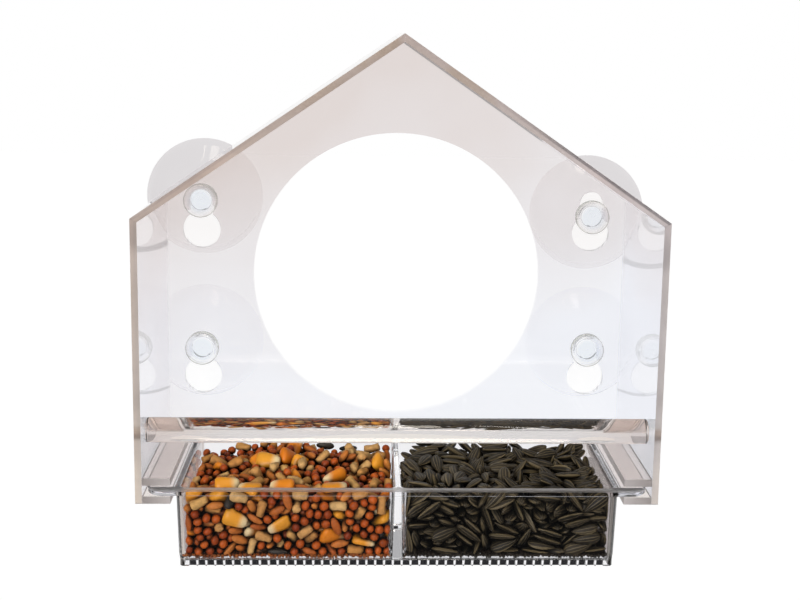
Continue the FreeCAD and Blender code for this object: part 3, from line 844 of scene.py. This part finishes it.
# Each kind's rings, spokes, length, half-width, half-thickness and swelling
SEED_SHAPES = {
    "sunflower": seed_shape(
        8, 8, 10.6, lambda s: 2.35 * teardrop(s, 0.85), lambda s: 1.4 * teardrop(s, 0.7), lens
    ),
    "maize": seed_shape(
        9,
        12,
        9.4,
        lambda s: 4.0 * blunt(s, 4) * (0.76 + 0.24 * s),
        lambda s: 2.0 * blunt(s, 4) * (0.85 + 0.15 * s),
    ),
    "wheat": seed_shape(8, 8, 6.8, lambda s: 1.6 * oval(s), lambda s: 1.5 * oval(s), crease),
    "pellet": seed_shape(6, 8, 6.6, lambda s: 1.75 * blunt(s, 5), lambda s: 1.65 * blunt(s, 5), lumps),
    "sorghum": seed_shape(6, 8, 3.5, lambda s: 1.7 * oval(s), lambda s: 1.55 * oval(s)),
    "grain_fines": seed_shape(4, 6, 1.9, lambda s: 0.85 * blunt(s, 4), lambda s: 0.6 * blunt(s, 4), lumps),
    "husk_fines": seed_shape(4, 6, 2.0, lambda s: 0.8 * blunt(s, 3), lambda s: 0.55 * blunt(s, 3), lumps),
    "dark_seed": seed_shape(6, 8, 8.0, lambda s: 1.9 * oval(s) * (1 - 0.2 * s), lambda s: 1.2 * oval(s)),
}

# Seeds: pouring them into the bays

BAY_CLEARANCE = 0.45
POUR_UNIT = 0.2
POUR_FRAMES = 60
POUR_SPACING = 62.0
POUR_GRAVITY = -60.0
POUR_SUBSTEPS, POUR_ITERATIONS = 8, 12
# Half sizes of the pour's floor and walls, and the floor's height
POUR_LONG, POUR_DEEP, POUR_TALL, POUR_THICK = 45, 35, 170.0, 6.0
POUR_FLOOR = 0.3
SEED_BODY = {
    "type": "ACTIVE",
    "collision_shape": "CONVEX_HULL",
    "use_margin": True,
    "collision_margin": 0.0,
    "friction": 0.45,
    "restitution": 0.0,
    "linear_damping": 0.1,
    "angular_damping": 0.2,
}
GRAIN_COUNTS = {"maize": 64, "wheat": 310, "pellet": 245, "dark_seed": 36, "sorghum": 1200}
SUNFLOWER_COUNT = 960
MAIZE_FRONT = 3.0
# Fines: a close layer of broken grain and husk over each bay's floor, dark, which is painted shade at the
# bottom of the bed as well
FINES_PITCH, FINES_INSET, FINES_LEVEL = 1.2, 1.1, 0.8
FINES_TIP, FINES_STRAY = 0.6, 0.15
CELL = 12.0
FIRST_LAYER = 0.7
SWAY = 0.2
# A cell holds one large seed, or four upright columns with a long seed or three small round ones in each
COLUMNS = [(x, y) for x in (-3, 3) for y in (-3, 3)]
SMALL_LEVELS = (-3.9, 0, 3.9)
BUNDLE = [(side, level) for level in (-4.5, -1.5, 1.5, 4.5) for side in (-3, 3)]
STANCES = {
    "along": Quaternion(),
    "athwart": Quaternion((0, 0, 1), math.pi / 2),
    "upright": Quaternion((0, 1, 0), math.pi / 2),
    "facing": Quaternion((1, 0, 0), math.pi / 2),
}
BOX_SIDES = [(0, 1, 3, 2), (4, 6, 7, 5), (0, 4, 5, 1), (2, 3, 7, 6), (0, 2, 6, 4), (1, 5, 7, 3)]


def bay_floor():
    """Half length and half depth of a bay at its floor."""
    lean = BAY["depth"] * math.tan(TRAY_DRAFT)
    return BAY["half_x"] - lean, BAY["half_y"] - lean


def cell_grid():
    """How many cells stand side by side over a bay, and how many behind one another."""
    return [int(2 * half // CELL) for half in bay_floor()]


def grain_cells(generator):
    """Cells of mixed grain, as lists of (kind, stance, step within the cell), in random order."""
    columns = []
    for kind, count in GRAIN_COUNTS.items():
        if kind == "sorghum":
            columns += [[(kind, "along", level) for level in SMALL_LEVELS]] * (count // len(SMALL_LEVELS))
        elif kind != "maize":
            columns += [[(kind, "upright", 0)]] * count
    order = generator.permutation(len(columns))
    maize = [[("maize", "facing", (0, 0, 0))] for seed in range(GRAIN_COUNTS["maize"])]
    rest = []
    for start in range(0, len(columns), len(COLUMNS)):
        cell = []
        for (x, y), pick in zip(COLUMNS, order[start : start + len(COLUMNS)]):
            cell += [(kind, stance, (x, y, level)) for kind, stance, level in columns[pick]]
        rest.append(cell)
    # The large seeds lie mostly at the front of the bay
    total = len(maize) + len(rest)
    across, behind = cell_grid()
    front = np.arange(total) % (across * behind) < across
    weights = np.where(front, MAIZE_FRONT, 1.0)
    chosen = generator.choice(total, len(maize), replace=False, p=weights / weights.sum())
    chosen = set(chosen.tolist())
    return [maize.pop() if number in chosen else rest.pop() for number in range(total)]


def sunflower_cells(generator):
    """Cells of sunflower seed: bundles that lie along the bay, across it or stand on end."""
    bundles = [
        [("sunflower", "along", (0, side, level)) for side, level in BUNDLE],
        [("sunflower", "athwart", (side, 0, level)) for side, level in BUNDLE],
        [("sunflower", "upright", (level, side, 0)) for side, level in BUNDLE],
    ]
    return [bundles[pick] for pick in generator.integers(len(bundles), size=SUNFLOWER_COUNT // len(BUNDLE))]


def random_turn(generator):
    return Quaternion(unit(generator.normal(size=4)))


def seed_places(cells, generator):
    """Start places over a bay, as (kind, place, turn), for cells stacked in a tall grid."""
    columns, rows = cell_grid()
    starts = []
    for number, cell in enumerate(cells):
        layer, spot = divmod(number, columns * rows)
        row, column = divmod(spot, columns)
        corner = np.array([column - (columns - 1) / 2, row - (rows - 1) / 2, layer + FIRST_LAYER]) * CELL
        for kind, stance, step in cell:
            turn = random_turn(generator)
            if stance in STANCES:
                sway = Quaternion((0, 0, 1), generator.uniform(-SWAY, SWAY))
                tip = Quaternion((0, 1, 0), generator.uniform(-SWAY, SWAY))
                turn = sway @ tip @ STANCES[stance] @ Quaternion((0, 0, 1), math.pi * generator.integers(2))
            starts.append((kind, corner + step, turn))
    return starts


def add_box(name, half, place, turn, collection):
    """A solid box for the pour, in its own units."""
    signs = np.array([(x, y, z) for x in (-1, 1) for y in (-1, 1) for z in (-1, 1)])
    mesh = bpy.data.meshes.new(name)
    mesh.from_pydata((signs * half * POUR_UNIT).tolist(), [], BOX_SIDES)
    box = bpy.data.objects.new(name, mesh)
    box.location = Vector(place) * POUR_UNIT
    box.rotation_euler = turn
    collection.objects.link(box)
    return box


def add_bay_walls(middle, collection):
    """Floor and four leaning walls of one bay, a little inside the tray's own, and far taller."""
    lean = math.tan(TRAY_DRAFT)
    half_x = BAY["half_x"] - BAY["depth"] / 2 * lean - BAY_CLEARANCE + POUR_THICK / math.cos(TRAY_DRAFT)
    half_y = BAY["half_y"] - BAY["depth"] / 2 * lean - BAY_CLEARANCE + POUR_THICK / math.cos(TRAY_DRAFT)
    centre = BAY["depth"] / 2
    floor = (POUR_LONG, POUR_DEEP, POUR_THICK)
    end, side = (POUR_THICK, POUR_DEEP, POUR_TALL), (POUR_LONG, POUR_THICK, POUR_TALL)
    boxes = [("pour_floor", floor, (middle, 0, POUR_FLOOR - POUR_THICK), (0, 0, 0))]
    for sign in (-1, 1):
        boxes.append(("pour_end", end, (middle + sign * half_x, 0, centre), (0, sign * TRAY_DRAFT, 0)))
        boxes.append(("pour_side", side, (middle, sign * half_y, centre), (-sign * TRAY_DRAFT, 0, 0)))
    return [add_box(*box, collection) for box in boxes]


def pour_seeds(bays):
    """Let the seeds of every bay fall and settle as rigid bodies; returns (kind, place, rotation) for each
    bay, in millimetres from the middle of the bay's floor."""
    scene = bpy.context.scene
    bpy.ops.rigidbody.world_add()
    world = scene.rigidbody_world
    collection = bpy.data.collections.new("pour")
    scene.collection.children.link(collection)
    world.collection = collection
    world.substeps_per_frame = POUR_SUBSTEPS
    world.solver_iterations = POUR_ITERATIONS
    world.point_cache.frame_end = POUR_FRAMES + 2
    scene.gravity = (0, 0, POUR_GRAVITY)
    scene.frame_set(1)
    hulls = {}
    for kind, (points, faces, places) in SEED_SHAPES.items():
        hulls[kind] = bpy.data.meshes.new(f"pour_{kind}")
        hulls[kind].from_pydata((points * POUR_UNIT).tolist(), [], faces)
    falling, fixed = [], []
    for number, starts in enumerate(bays):
        middle = (number - 0.5) * 2 * POUR_SPACING
        fixed += add_bay_walls(middle, collection)
        for kind, place, turn in starts:
            seed = bpy.data.objects.new("pour_seed", hulls[kind])
            seed.location = Vector(place + [middle, 0, 0]) * POUR_UNIT
            seed.rotation_mode = "QUATERNION"
            seed.rotation_quaternion = turn
            collection.objects.link(seed)
            falling.append((number, kind, middle, seed))
    for thing in collection.objects:
        for setting, value in SEED_BODY.items():
            setattr(thing.rigid_body, setting, value)
    for wall in fixed:
        wall.rigid_body.type = "PASSIVE"
        wall.rigid_body.collision_shape = "BOX"
    for number in range(2, POUR_FRAMES + 1):
        scene.frame_set(number)
    graph = bpy.context.evaluated_depsgraph_get()
    settled = [[] for bay in bays]
    for number, kind, middle, seed in falling:
        matrix = np.array(seed.evaluated_get(graph).matrix_world)
        settled[number].append((kind, matrix[:3, 3] / POUR_UNIT - [middle, 0, 0], matrix[:3, :3]))
    bpy.ops.rigidbody.world_remove()
    for thing in list(collection.objects):
        bpy.data.objects.remove(thing)
    bpy.data.collections.remove(collection)
    scene.frame_set(1)
    return settled


def fines(kind, generator):
    """Broken grain and husk laid close over the whole floor of a bay, as (kind, place, rotation); coloured
    dark, they are also painted shade at the bottom of the bed.
    """
    half_x, half_y = bay_floor()
    reach_x, reach_y = half_x - FINES_INSET, half_y - FINES_INSET
    scattered = []
    for x in np.linspace(-reach_x, reach_x, round(2 * reach_x / FINES_PITCH)):
        for y in np.linspace(-reach_y, reach_y, round(2 * reach_y / FINES_PITCH)):
            spot = np.array([x, y, FINES_LEVEL]) + generator.uniform(-FINES_STRAY, FINES_STRAY, 3)
            tip = Quaternion((1, 0, 0), generator.uniform(-FINES_TIP, FINES_TIP))
            turn = Quaternion((0, 0, 1), generator.uniform(0, TAU)) @ tip
            scattered.append((kind, spot, np.array(turn.to_matrix())))
    return scattered


# Seeds: painted shade, by how deep each point lies between its neighbours

BEADS = {
    "sunflower": 1.7,
    "maize": 2.7,
    "wheat": 1.4,
    "pellet": 1.6,
    "sorghum": 1.65,
    "dark_seed": 1.4,
    "grain_fines": 0.8,
    "husk_fines": 0.8,
}
BEAD_STEPS = np.array([-0.3, 0.0, 0.3])
NEAR = 9.0
SHELTER = 1.1


def outward_normals(points, faces):
    """Normals of a seed's points: the sum of the normals of the faces round each."""
    normals = np.zeros_like(points)
    for face in faces:
        first, second, third = points[face[0]], points[face[1]], points[face[2]]
        normals[face] += np.cross(second - first, third - first)
    return normals / np.linalg.norm(normals, axis=1)[:, None]


def seed_painted_shade(bed):
    """For each seed of a bed, how closed in each of its points is, from 0 to 1: the share of painted shade
    that its skin gets there. Every seed is taken as three beads along its length; a bead of radius r at
    distance d hides the share (r / d) squared times the cosine between its direction and the point's normal;
    shares add up, and their sum s gives 1 - exp(-s)."""
    normals = {kind: outward_normals(*shape[:2]) for kind, shape in SEED_SHAPES.items()}
    lengths = {kind: np.ptp(shape[0][:, 0]) for kind, shape in SEED_SHAPES.items()}
    middles = np.array([place for kind, place, turn in bed])
    axes = np.array([turn[:, 0] * lengths[kind] for kind, place, turn in bed])
    beads = middles[:, None, :] + axes[:, None, :] * BEAD_STEPS[:, None]
    radii = np.array([BEADS[kind] for kind, place, turn in bed])
    painted_shades = []
    for number, (kind, place, turn) in enumerate(bed):
        near = np.linalg.norm(middles - place, axis=1) < NEAR
        near[number] = False
        spots = beads[near].reshape(-1, 3)
        sizes = np.repeat(radii[near] / len(BEAD_STEPS) ** 0.5, len(BEAD_STEPS))
        away = spots[None] - (SEED_SHAPES[kind][0] @ turn.T + place)[:, None]
        far = np.maximum(np.linalg.norm(away, axis=2), sizes)
        facing = np.einsum("pnk,pk->pn", away, normals[kind] @ turn.T) / far
        hidden = np.sum((sizes / far) ** 2 * np.clip(facing, 0, 1), axis=1)
        painted_shades.append(1 - np.exp(-SHELTER * hidden))
    return painted_shades


# Seeds: their skins

# Painted shade between the seeds: each point's share of it darkens the skin towards this colour
PAINTED_SHADE_SPAN, PAINTED_SHADE_COLOUR = (0.1, 0.85), (0.010, 0.005, 0.003)
PATCH_NOISE, PATCH_SPAN, PATCH_COLOUR = (3.0, 0.6), (0.35, 0.75), (0.02, 0.012, 0.008)
MARK_WANDER = 0.25
SHEEN = 0.25
# Fine bumps: how much finer than the patches, strength and depth
SKIN_FINER, SKIN_BUMP = 2.5, (0.35, 0.0003)
HUSK_GRAIN, HUSK_FINE, HUSK_BUMP, HUSK_ROUGHNESS = 420.0, 1500.0, (0.3, 0.0002), 0.5
HUSK_BEND, HUSK_MIDDLE = 0.10, 0.55
STRIPE_COUNT, STRIPE_SHIFT, STRIPE_SPAN, STRIPE_SHARE = 24.0, 6.0, (0.55, 0.98), 0.5
HUSK_EDGE, HUSK_EDGE_AND_HIGHLIGHT_SHARE = (0.38, 0.50), 0.55
HUSK_TONES = ((0.0095, 0.0078, 0.005), (0.031, 0.024, 0.014))
STRIPE_COLOUR, HUSK_EDGE_AND_HIGHLIGHT_COLOUR = (0.25, 0.20, 0.115), (0.20, 0.155, 0.08)
HUSK_PAINTED_SHADE_SPAN, HUSK_PAINTED_SHADE_COLOUR = (0.05, 0.6), (0.002, 0.002, 0.0015)
# Each kind's material, colours, roughness, scale and depth of its patches, and a mark as (from, to, colour)
SKINS = {
    "maize": (
        "maize_skin",
        [(0.85, 0.38, 0.035), (0.85, 0.31, 0.02), (0.70, 0.18, 0.012)],
        0.38,
        180.0,
        0.12,
        (0.55, 0.2, (0.82, 0.66, 0.38)),
    ),
    "wheat": (
        "wheat_husk",
        [(0.54, 0.15, 0.024), (0.70, 0.26, 0.055), (0.44, 0.10, 0.014)],
        0.55,
        420.0,
        0.35,
    ),
    "pellet": ("crumb", [(0.74, 0.44, 0.15), (0.60, 0.27, 0.07), (0.76, 0.50, 0.21)], 0.75, 520.0, 0.35),
    "dark_seed": ("dark_husk", [(0.02, 0.018, 0.016), (0.05, 0.045, 0.04)], 0.45, 420.0, 0.2),
    "sorghum": (
        "sorghum_skin",
        [(0.42, 0.068, 0.008), (0.60, 0.125, 0.014), (0.26, 0.034, 0.005)],
        0.42,
        420.0,
        0.3,
    ),
    # The fines' skins are dark: broken grain and husk, and painted shade at the bottom of the bed too
    "grain_fines": (
        "broken_grain_and_shade",
        [(0.20, 0.043, 0.006), (0.40, 0.12, 0.022), (0.10, 0.022, 0.004)],
        0.7,
        700.0,
        0.4,
    ),
    "husk_fines": ("broken_husk_and_shade", [(0.012, 0.011, 0.009), (0.035, 0.03, 0.022)], 0.7, 700.0, 0.3),
}


def seed_share(tree, axis):
    """The share along a seed (X) or across it (Y)."""
    return parts_of(tree, add_node(tree, "ShaderNodeUVMap").outputs[0])[axis]


def finish_skin(tree, output, colour, roughness, fine, bump):
    """A dry skin with fine bumps."""
    strength, depth = bump
    bumps = add_node(tree, "ShaderNodeBump", {"Height": fine, "Strength": strength, "Distance": depth})
    sockets = {
        "Base Color": colour,
        "Roughness": roughness,
        "Specular IOR Level": SHEEN,
        "Normal": bumps.outputs["Normal"],
    }
    skin = add_node(tree, "ShaderNodeBsdfPrincipled", sockets)
    tree.links.new(skin.outputs[0], output.inputs["Surface"])


def seed_skin(name, colours, roughness, grain, speckle, mark=None):
    """A dry skin: its colour runs over the given colours by each seed's own tone, is darker in small patches,
    has painted shade between the seeds, and can be mixed towards a second colour at one end."""
    material, tree, output = new_material(name)
    place = object_place(tree)
    ramp = add_node(tree, "ShaderNodeValToRGB", {"Fac": point_value(tree, "tone")})
    steps = ramp.color_ramp.elements
    while len(steps) < len(colours):
        steps.new(0.5)
    for number, colour in enumerate(colours):
        steps[number].position = number / (len(colours) - 1)
        steps[number].color = opaque(colour)
    patches = noise(tree, place, grain, *PATCH_NOISE)
    darker = spread(tree, patches, *PATCH_SPAN, 0, speckle)
    colour = mixed(tree, darker, ramp.outputs["Color"], PATCH_COLOUR)
    if mark:
        low, high, tint = mark
        wander = maths(tree, "MULTIPLY_ADD", patches, MARK_WANDER, seed_share(tree, "X"))
        colour = mixed(tree, spread(tree, wander, low, high), colour, tint)
    # Painted shade where the seed lies closed in between its neighbours
    colour = mixed(tree, spread(tree, point_value(tree, "painted_shade"), *PAINTED_SHADE_SPAN), colour, PAINTED_SHADE_COLOUR)
    fine = noise(tree, place, grain * SKIN_FINER, 2.0)
    finish_skin(tree, output, colour, roughness, fine, SKIN_BUMP)
    return material


def sunflower_skin():
    """Striped husk: nearly black, with olive-brown edges that partly are a painted highlight, thin pale
    stripes that run from end to end, and painted shade between the seeds.
    """
    material, tree, output = new_material("sunflower_husk")
    tone = point_value(tree, "tone")
    place = object_place(tree)
    patches = noise(tree, place, HUSK_GRAIN, *PATCH_NOISE)
    bent = maths(tree, "MULTIPLY_ADD", patches, HUSK_BEND, seed_share(tree, "Y"))
    stripes = maths(tree, "MULTIPLY_ADD", bent, STRIPE_COUNT, product(tree, tone, STRIPE_SHIFT))
    thin = spread(tree, maths(tree, "SINE", stripes), *STRIPE_SPAN)
    off_centre = maths(tree, "ABSOLUTE", maths(tree, "SUBTRACT", bent, HUSK_MIDDLE))
    edge = spread(tree, off_centre, *HUSK_EDGE)
    shell = mixed(tree, tone, *HUSK_TONES)
    shell = mixed(tree, product(tree, thin, STRIPE_SHARE), shell, STRIPE_COLOUR)
    # The edges: the husk's own olive-brown, with a painted highlight in it
    shell = mixed(tree, product(tree, edge, HUSK_EDGE_AND_HIGHLIGHT_SHARE), shell, HUSK_EDGE_AND_HIGHLIGHT_COLOUR)
    # Painted shade between the seeds
    shell = mixed(tree, spread(tree, point_value(tree, "painted_shade"), *HUSK_PAINTED_SHADE_SPAN), shell, HUSK_PAINTED_SHADE_COLOUR)
    finish_skin(tree, output, shell, HUSK_ROUGHNESS, noise(tree, place, HUSK_FINE, 2.0), HUSK_BUMP)
    return material


SEED_SIZES = (0.88, 1.0)
POUR_SEED = 11
# Seeds whose middle lies nearer the rim than this are left out
RIM_MARGIN = 0.5


def make_seed_piece(kind, seeds, origin, material, replaced, generator):
    """All the seeds of one kind in one mesh: each is the kind's shape, turned and moved to where it lies.
    Point attributes give every seed its own tone and tell how closed in each point is, for the painted shade;
    the UV map is the share along and across the seed."""
    points, faces, places = SEED_SHAPES[kind]
    sizes = generator.uniform(*SEED_SIZES, len(seeds))
    turns = np.array([turn for place, turn, painted_shade in seeds]) * sizes[:, None, None]
    spots = np.array([place for place, turn, painted_shade in seeds]) + origin
    all_points = np.einsum("nij,pj->npi", turns, points) + spots[:, None, :]
    offsets = np.arange(len(seeds)) * len(points)
    all_faces = [[corner + offset for corner in face] for offset in offsets.tolist() for face in faces]
    mesh = bpy.data.meshes.new(f"poured_{kind}")
    mesh.from_pydata((all_points.reshape(-1, 3) * MM).tolist(), [], all_faces)
    set_shade(mesh, "tone", np.repeat(generator.uniform(0, 1, len(seeds)), len(points)))
    set_shade(mesh, "painted_shade", np.concatenate([painted_shade for place, turn, painted_shade in seeds]))
    corners = np.zeros(len(mesh.loops), np.int32)
    mesh.loops.foreach_get("vertex_index", corners)
    layer = mesh.uv_layers.new(name="UVMap")
    layer.data.foreach_set("uv", np.tile(places, (len(seeds), 1))[corners].astype(np.float32).ravel())
    return add_piece(mesh, material, "tray", replaced, SEED_CREASE)


def make_seeds():
    """Fill the left bay with mixed grain and the right one with sunflower seed."""
    generator = np.random.default_rng(POUR_SEED)
    bays = [seed_places(cells(generator), generator) for cells in (grain_cells, sunflower_cells)]
    beds = pour_seeds(bays)
    low, high = node_box("seed_tray")
    floor = np.array([0, (low[1] + high[1]) / 2, high[2] - BAY["depth"]])
    skins = {kind: seed_skin(*skin) for kind, skin in SKINS.items()}
    skins["sunflower"] = sunflower_skin()
    grain = beds[0] + fines("grain_fines", generator)
    husks = beds[1] + fines("husk_fines", generator)
    filled = [
        ("mixed_grain", "grain", -1, grain, [*GRAIN_COUNTS, "grain_fines"]),
        ("sunflower_seed", "sunflower", 1, husks, ["sunflower", "husk_fines"]),
    ]
    pieces = []
    for node, slot, sign, bed, kinds in filled:
        origin = floor + [sign * BAY["middle"], 0, 0]
        bed = [seed for seed in bed if seed[1][2] < BAY["depth"] - RIM_MARGIN]
        painted_shades = seed_painted_shade(bed)
        for number, kind in enumerate(kinds):
            seeds = [(place, turn, painted_shade) for (name, place, turn), painted_shade in zip(bed, painted_shades) if name == kind]
            replaced = [] if number else [node]
            pieces.append(make_seed_piece(kind, seeds, origin, skins[kind], replaced, generator))
    return pieces


# Stage, light and camera

IMAGE_WIDTH = 800
FOCAL_PIXELS = 1155.0
CAMERA_PLACE = (-12.5, -444.3, 92.6)
CAMERA_YAW = math.radians(1.78)
CAMERA_PITCH = math.radians(-8.54)
CAMERA_ROLL = math.radians(0.82)
CAMERA_SHIFT = -0.12
SENSOR = 36.0


def add_camera():
    """Camera at the photograph's place: turned to the right, tipped down, then rolled about its own axis."""
    data = bpy.data.cameras.new("photo_camera")
    data.sensor_width = SENSOR
    data.lens = SENSOR * FOCAL_PIXELS / IMAGE_WIDTH
    data.shift_y = CAMERA_SHIFT
    camera = bpy.data.objects.new("photo_camera", data)
    turn = Matrix.Rotation(-CAMERA_YAW, 4, "Z")
    tip = Matrix.Rotation(math.pi / 2 + CAMERA_PITCH, 4, "X")
    roll = Matrix.Rotation(CAMERA_ROLL, 4, "Z")
    camera.matrix_world = Matrix.Translation(Vector(CAMERA_PLACE) * MM) @ turn @ tip @ roll
    bpy.context.scene.collection.objects.link(camera)
    bpy.context.scene.camera = camera


WHITE = (1, 1, 1)
AMBIENT = 0.25
ROOM_FRONT, ROOM_BACK = 0.03, 1.0
ROOM_SPAN = (-0.5, 0.4)
INNER_ROOM = 0.5
FLOOR_DROP = 190.0
FLOOR_HALF = 3000.0
FLOOR_GREY = (0.8, 0.8, 0.8)
FLOOR_LIFT = (0.446, 0.461, 0.481)
FLOOR_FADE = (-0.3, 0.0)


def not_scattered(tree, path):
    """1 for light that no matt surface has scattered on its way."""
    return maths(tree, "LESS_THAN", path["Diffuse Depth"], 0.5)


def make_world():
    """White for the eye and straight through clear plastic; reflections see a room that is dim in front, and
    light that has been reflected inside the plastic comes from a dim room too, which draws its edges."""
    world = bpy.data.worlds.new("white_studio")
    world.use_nodes = True
    tree = world.node_tree
    tree.nodes.clear()
    path = add_node(tree, "ShaderNodeLightPath").outputs
    direction = add_node(tree, "ShaderNodeTexCoord").outputs["Generated"]
    room = spread(tree, parts_of(tree, direction)["Y"], *ROOM_SPAN, ROOM_FRONT, ROOM_BACK)
    straight = maths(tree, "SUBTRACT", 1.0, maths(tree, "MINIMUM", path["Glossy Depth"], 1.0))
    through = maths(tree, "MULTIPLY_ADD", straight, 1.0 - INNER_ROOM, INNER_ROOM)
    level = blended(tree, path["Is Transmission Ray"], room, through)
    level = blended(tree, path["Is Camera Ray"], level, 1.0)
    seen = maths(tree, "MAXIMUM", path["Is Camera Ray"], path["Is Transmission Ray"])
    seen = product(tree, maths(tree, "MAXIMUM", seen, path["Is Glossy Ray"]), not_scattered(tree, path))
    level = blended(tree, seen, AMBIENT, level)
    light = add_node(tree, "ShaderNodeBackground", {"Color": opaque(WHITE), "Strength": level})
    output = tree.nodes.new("ShaderNodeOutputWorld")
    tree.links.new(light.outputs[0], output.inputs["Surface"])
    bpy.context.scene.world = world


def make_floor():
    """Pale floor well below the feeder: diffuse, lifted to white where it is seen directly or through clear
    plastic; in reflections on the plastic and inside it, it is as dim as the room in front and white
    behind."""
    level = cad_box[0][2] / MM - FLOOR_DROP
    signs = [(-1, -1), (1, -1), (1, 1), (-1, 1)]
    corners = [(x * FLOOR_HALF * MM, y * FLOOR_HALF * MM, level * MM) for x, y in signs]
    mesh = bpy.data.meshes.new("pale_floor")
    mesh.from_pydata(corners, [], [(0, 1, 2, 3)])
    material, tree, output = new_material("pale_floor")
    path = add_node(tree, "ShaderNodeLightPath").outputs
    seen = maths(tree, "MAXIMUM", path["Is Camera Ray"], path["Is Transmission Ray"])
    matt = add_node(tree, "ShaderNodeBsdfDiffuse", {"Color": opaque(FLOOR_GREY)})
    lift = add_node(tree, "ShaderNodeEmission", {"Color": opaque(FLOOR_LIFT), "Strength": seen})
    both = add_node(tree, "ShaderNodeAddShader", {0: matt.outputs[0], 1: lift.outputs[0]})
    depth = parts_of(tree, object_place(tree))["Y"]
    strength = spread(tree, depth, *FLOOR_FADE, ROOM_FRONT, ROOM_BACK)
    dim = add_node(tree, "ShaderNodeEmission", {"Color": opaque(WHITE), "Strength": strength})
    mirrored = product(tree, maths(tree, "MINIMUM", path["Glossy Depth"], 1.0), not_scattered(tree, path))
    choice = add_node(tree, "ShaderNodeMixShader", {0: mirrored, 1: both.outputs[0], 2: dim.outputs[0]})
    tree.links.new(choice.outputs[0], output.inputs["Surface"])
    mesh.materials.append(material)
    floor = bpy.data.objects.new("pale_floor", mesh)
    bpy.context.scene.collection.objects.link(floor)
    return floor


SUN_COLOUR = (1.0, 0.96, 0.9)
SUN_STRENGTH = 1.8
SUN_ANGLE = math.radians(14.0)
SUN_FROM = (-0.3, -0.5, 0.8)
FILL_STRENGTH = 2.1
FILL_FROM = (-0.45, -1.0, 0.3)
# Windows above the camera: across, and how wide and how high each is
WINDOW_COLOUR = (1.0, 0.93, 0.82)
WINDOW_PLACE = (-0.81, 1.02)
WINDOWS = [(0.038, 0.205, 0.6), (-0.24, 0.04, 0.5), (0.31, 0.045, 0.5)]
WINDOW_RADIANCE = 7.0
BOUNCES = {
    "max_bounces": 32,
    "transmission_bounces": 24,
    "glossy_bounces": 12,
    "transparent_max_bounces": 32,
    "caustics_reflective": False,
}


def add_lamp(name, kind, colour, energy, place, pieces):
    """A lamp that stands at a place, looks at the origin and lights these pieces alone."""
    data = bpy.data.lights.new(name, kind)
    data.color = colour
    data.energy = energy
    lamp = bpy.data.objects.new(name, data)
    bpy.context.scene.collection.objects.link(lamp)
    lamp.location = place
    lamp.rotation_euler = (-Vector(place)).to_track_quat("-Z", "Y").to_euler()
    lit = bpy.data.collections.new(f"lit_by_{name}")
    for piece in pieces:
        lit.objects.link(piece)
    lamp.light_linking.receiver_collection = lit
    return data


def add_lights(seeds, floor):
    """A soft key from above for the floor, a lower one from the front for the seeds, and small bright windows
    over the camera, which give the clear plastic its highlights; the world fills the rest."""
    pieces = [piece for piece in bpy.context.scene.objects if piece.type == "MESH" and piece != floor]
    add_lamp("key", "SUN", SUN_COLOUR, SUN_STRENGTH, SUN_FROM, [floor]).angle = SUN_ANGLE
    add_lamp("fill", "SUN", SUN_COLOUR, FILL_STRENGTH, FILL_FROM, seeds).angle = SUN_ANGLE
    for number, (across, wide, high) in enumerate(WINDOWS):
        power = WINDOW_RADIANCE * math.pi * wide * high
        place = (across, *WINDOW_PLACE)
        window = add_lamp(f"window_{number}", "AREA", WINDOW_COLOUR, power, place, pieces)
        window.shape = "RECTANGLE"
        window.size, window.size_y = wide, high


def set_rendering():
    scene = bpy.context.scene
    scene.view_settings.view_transform = "Standard"
    for setting, value in BOUNCES.items():
        setattr(scene.cycles, setting, value)


dress_sheets()
make_perch_rod()
make_cups()
make_tray()
seeds = make_seeds()
floor = make_floor()
make_world()
add_lights(seeds, floor)
add_camera()
set_rendering()
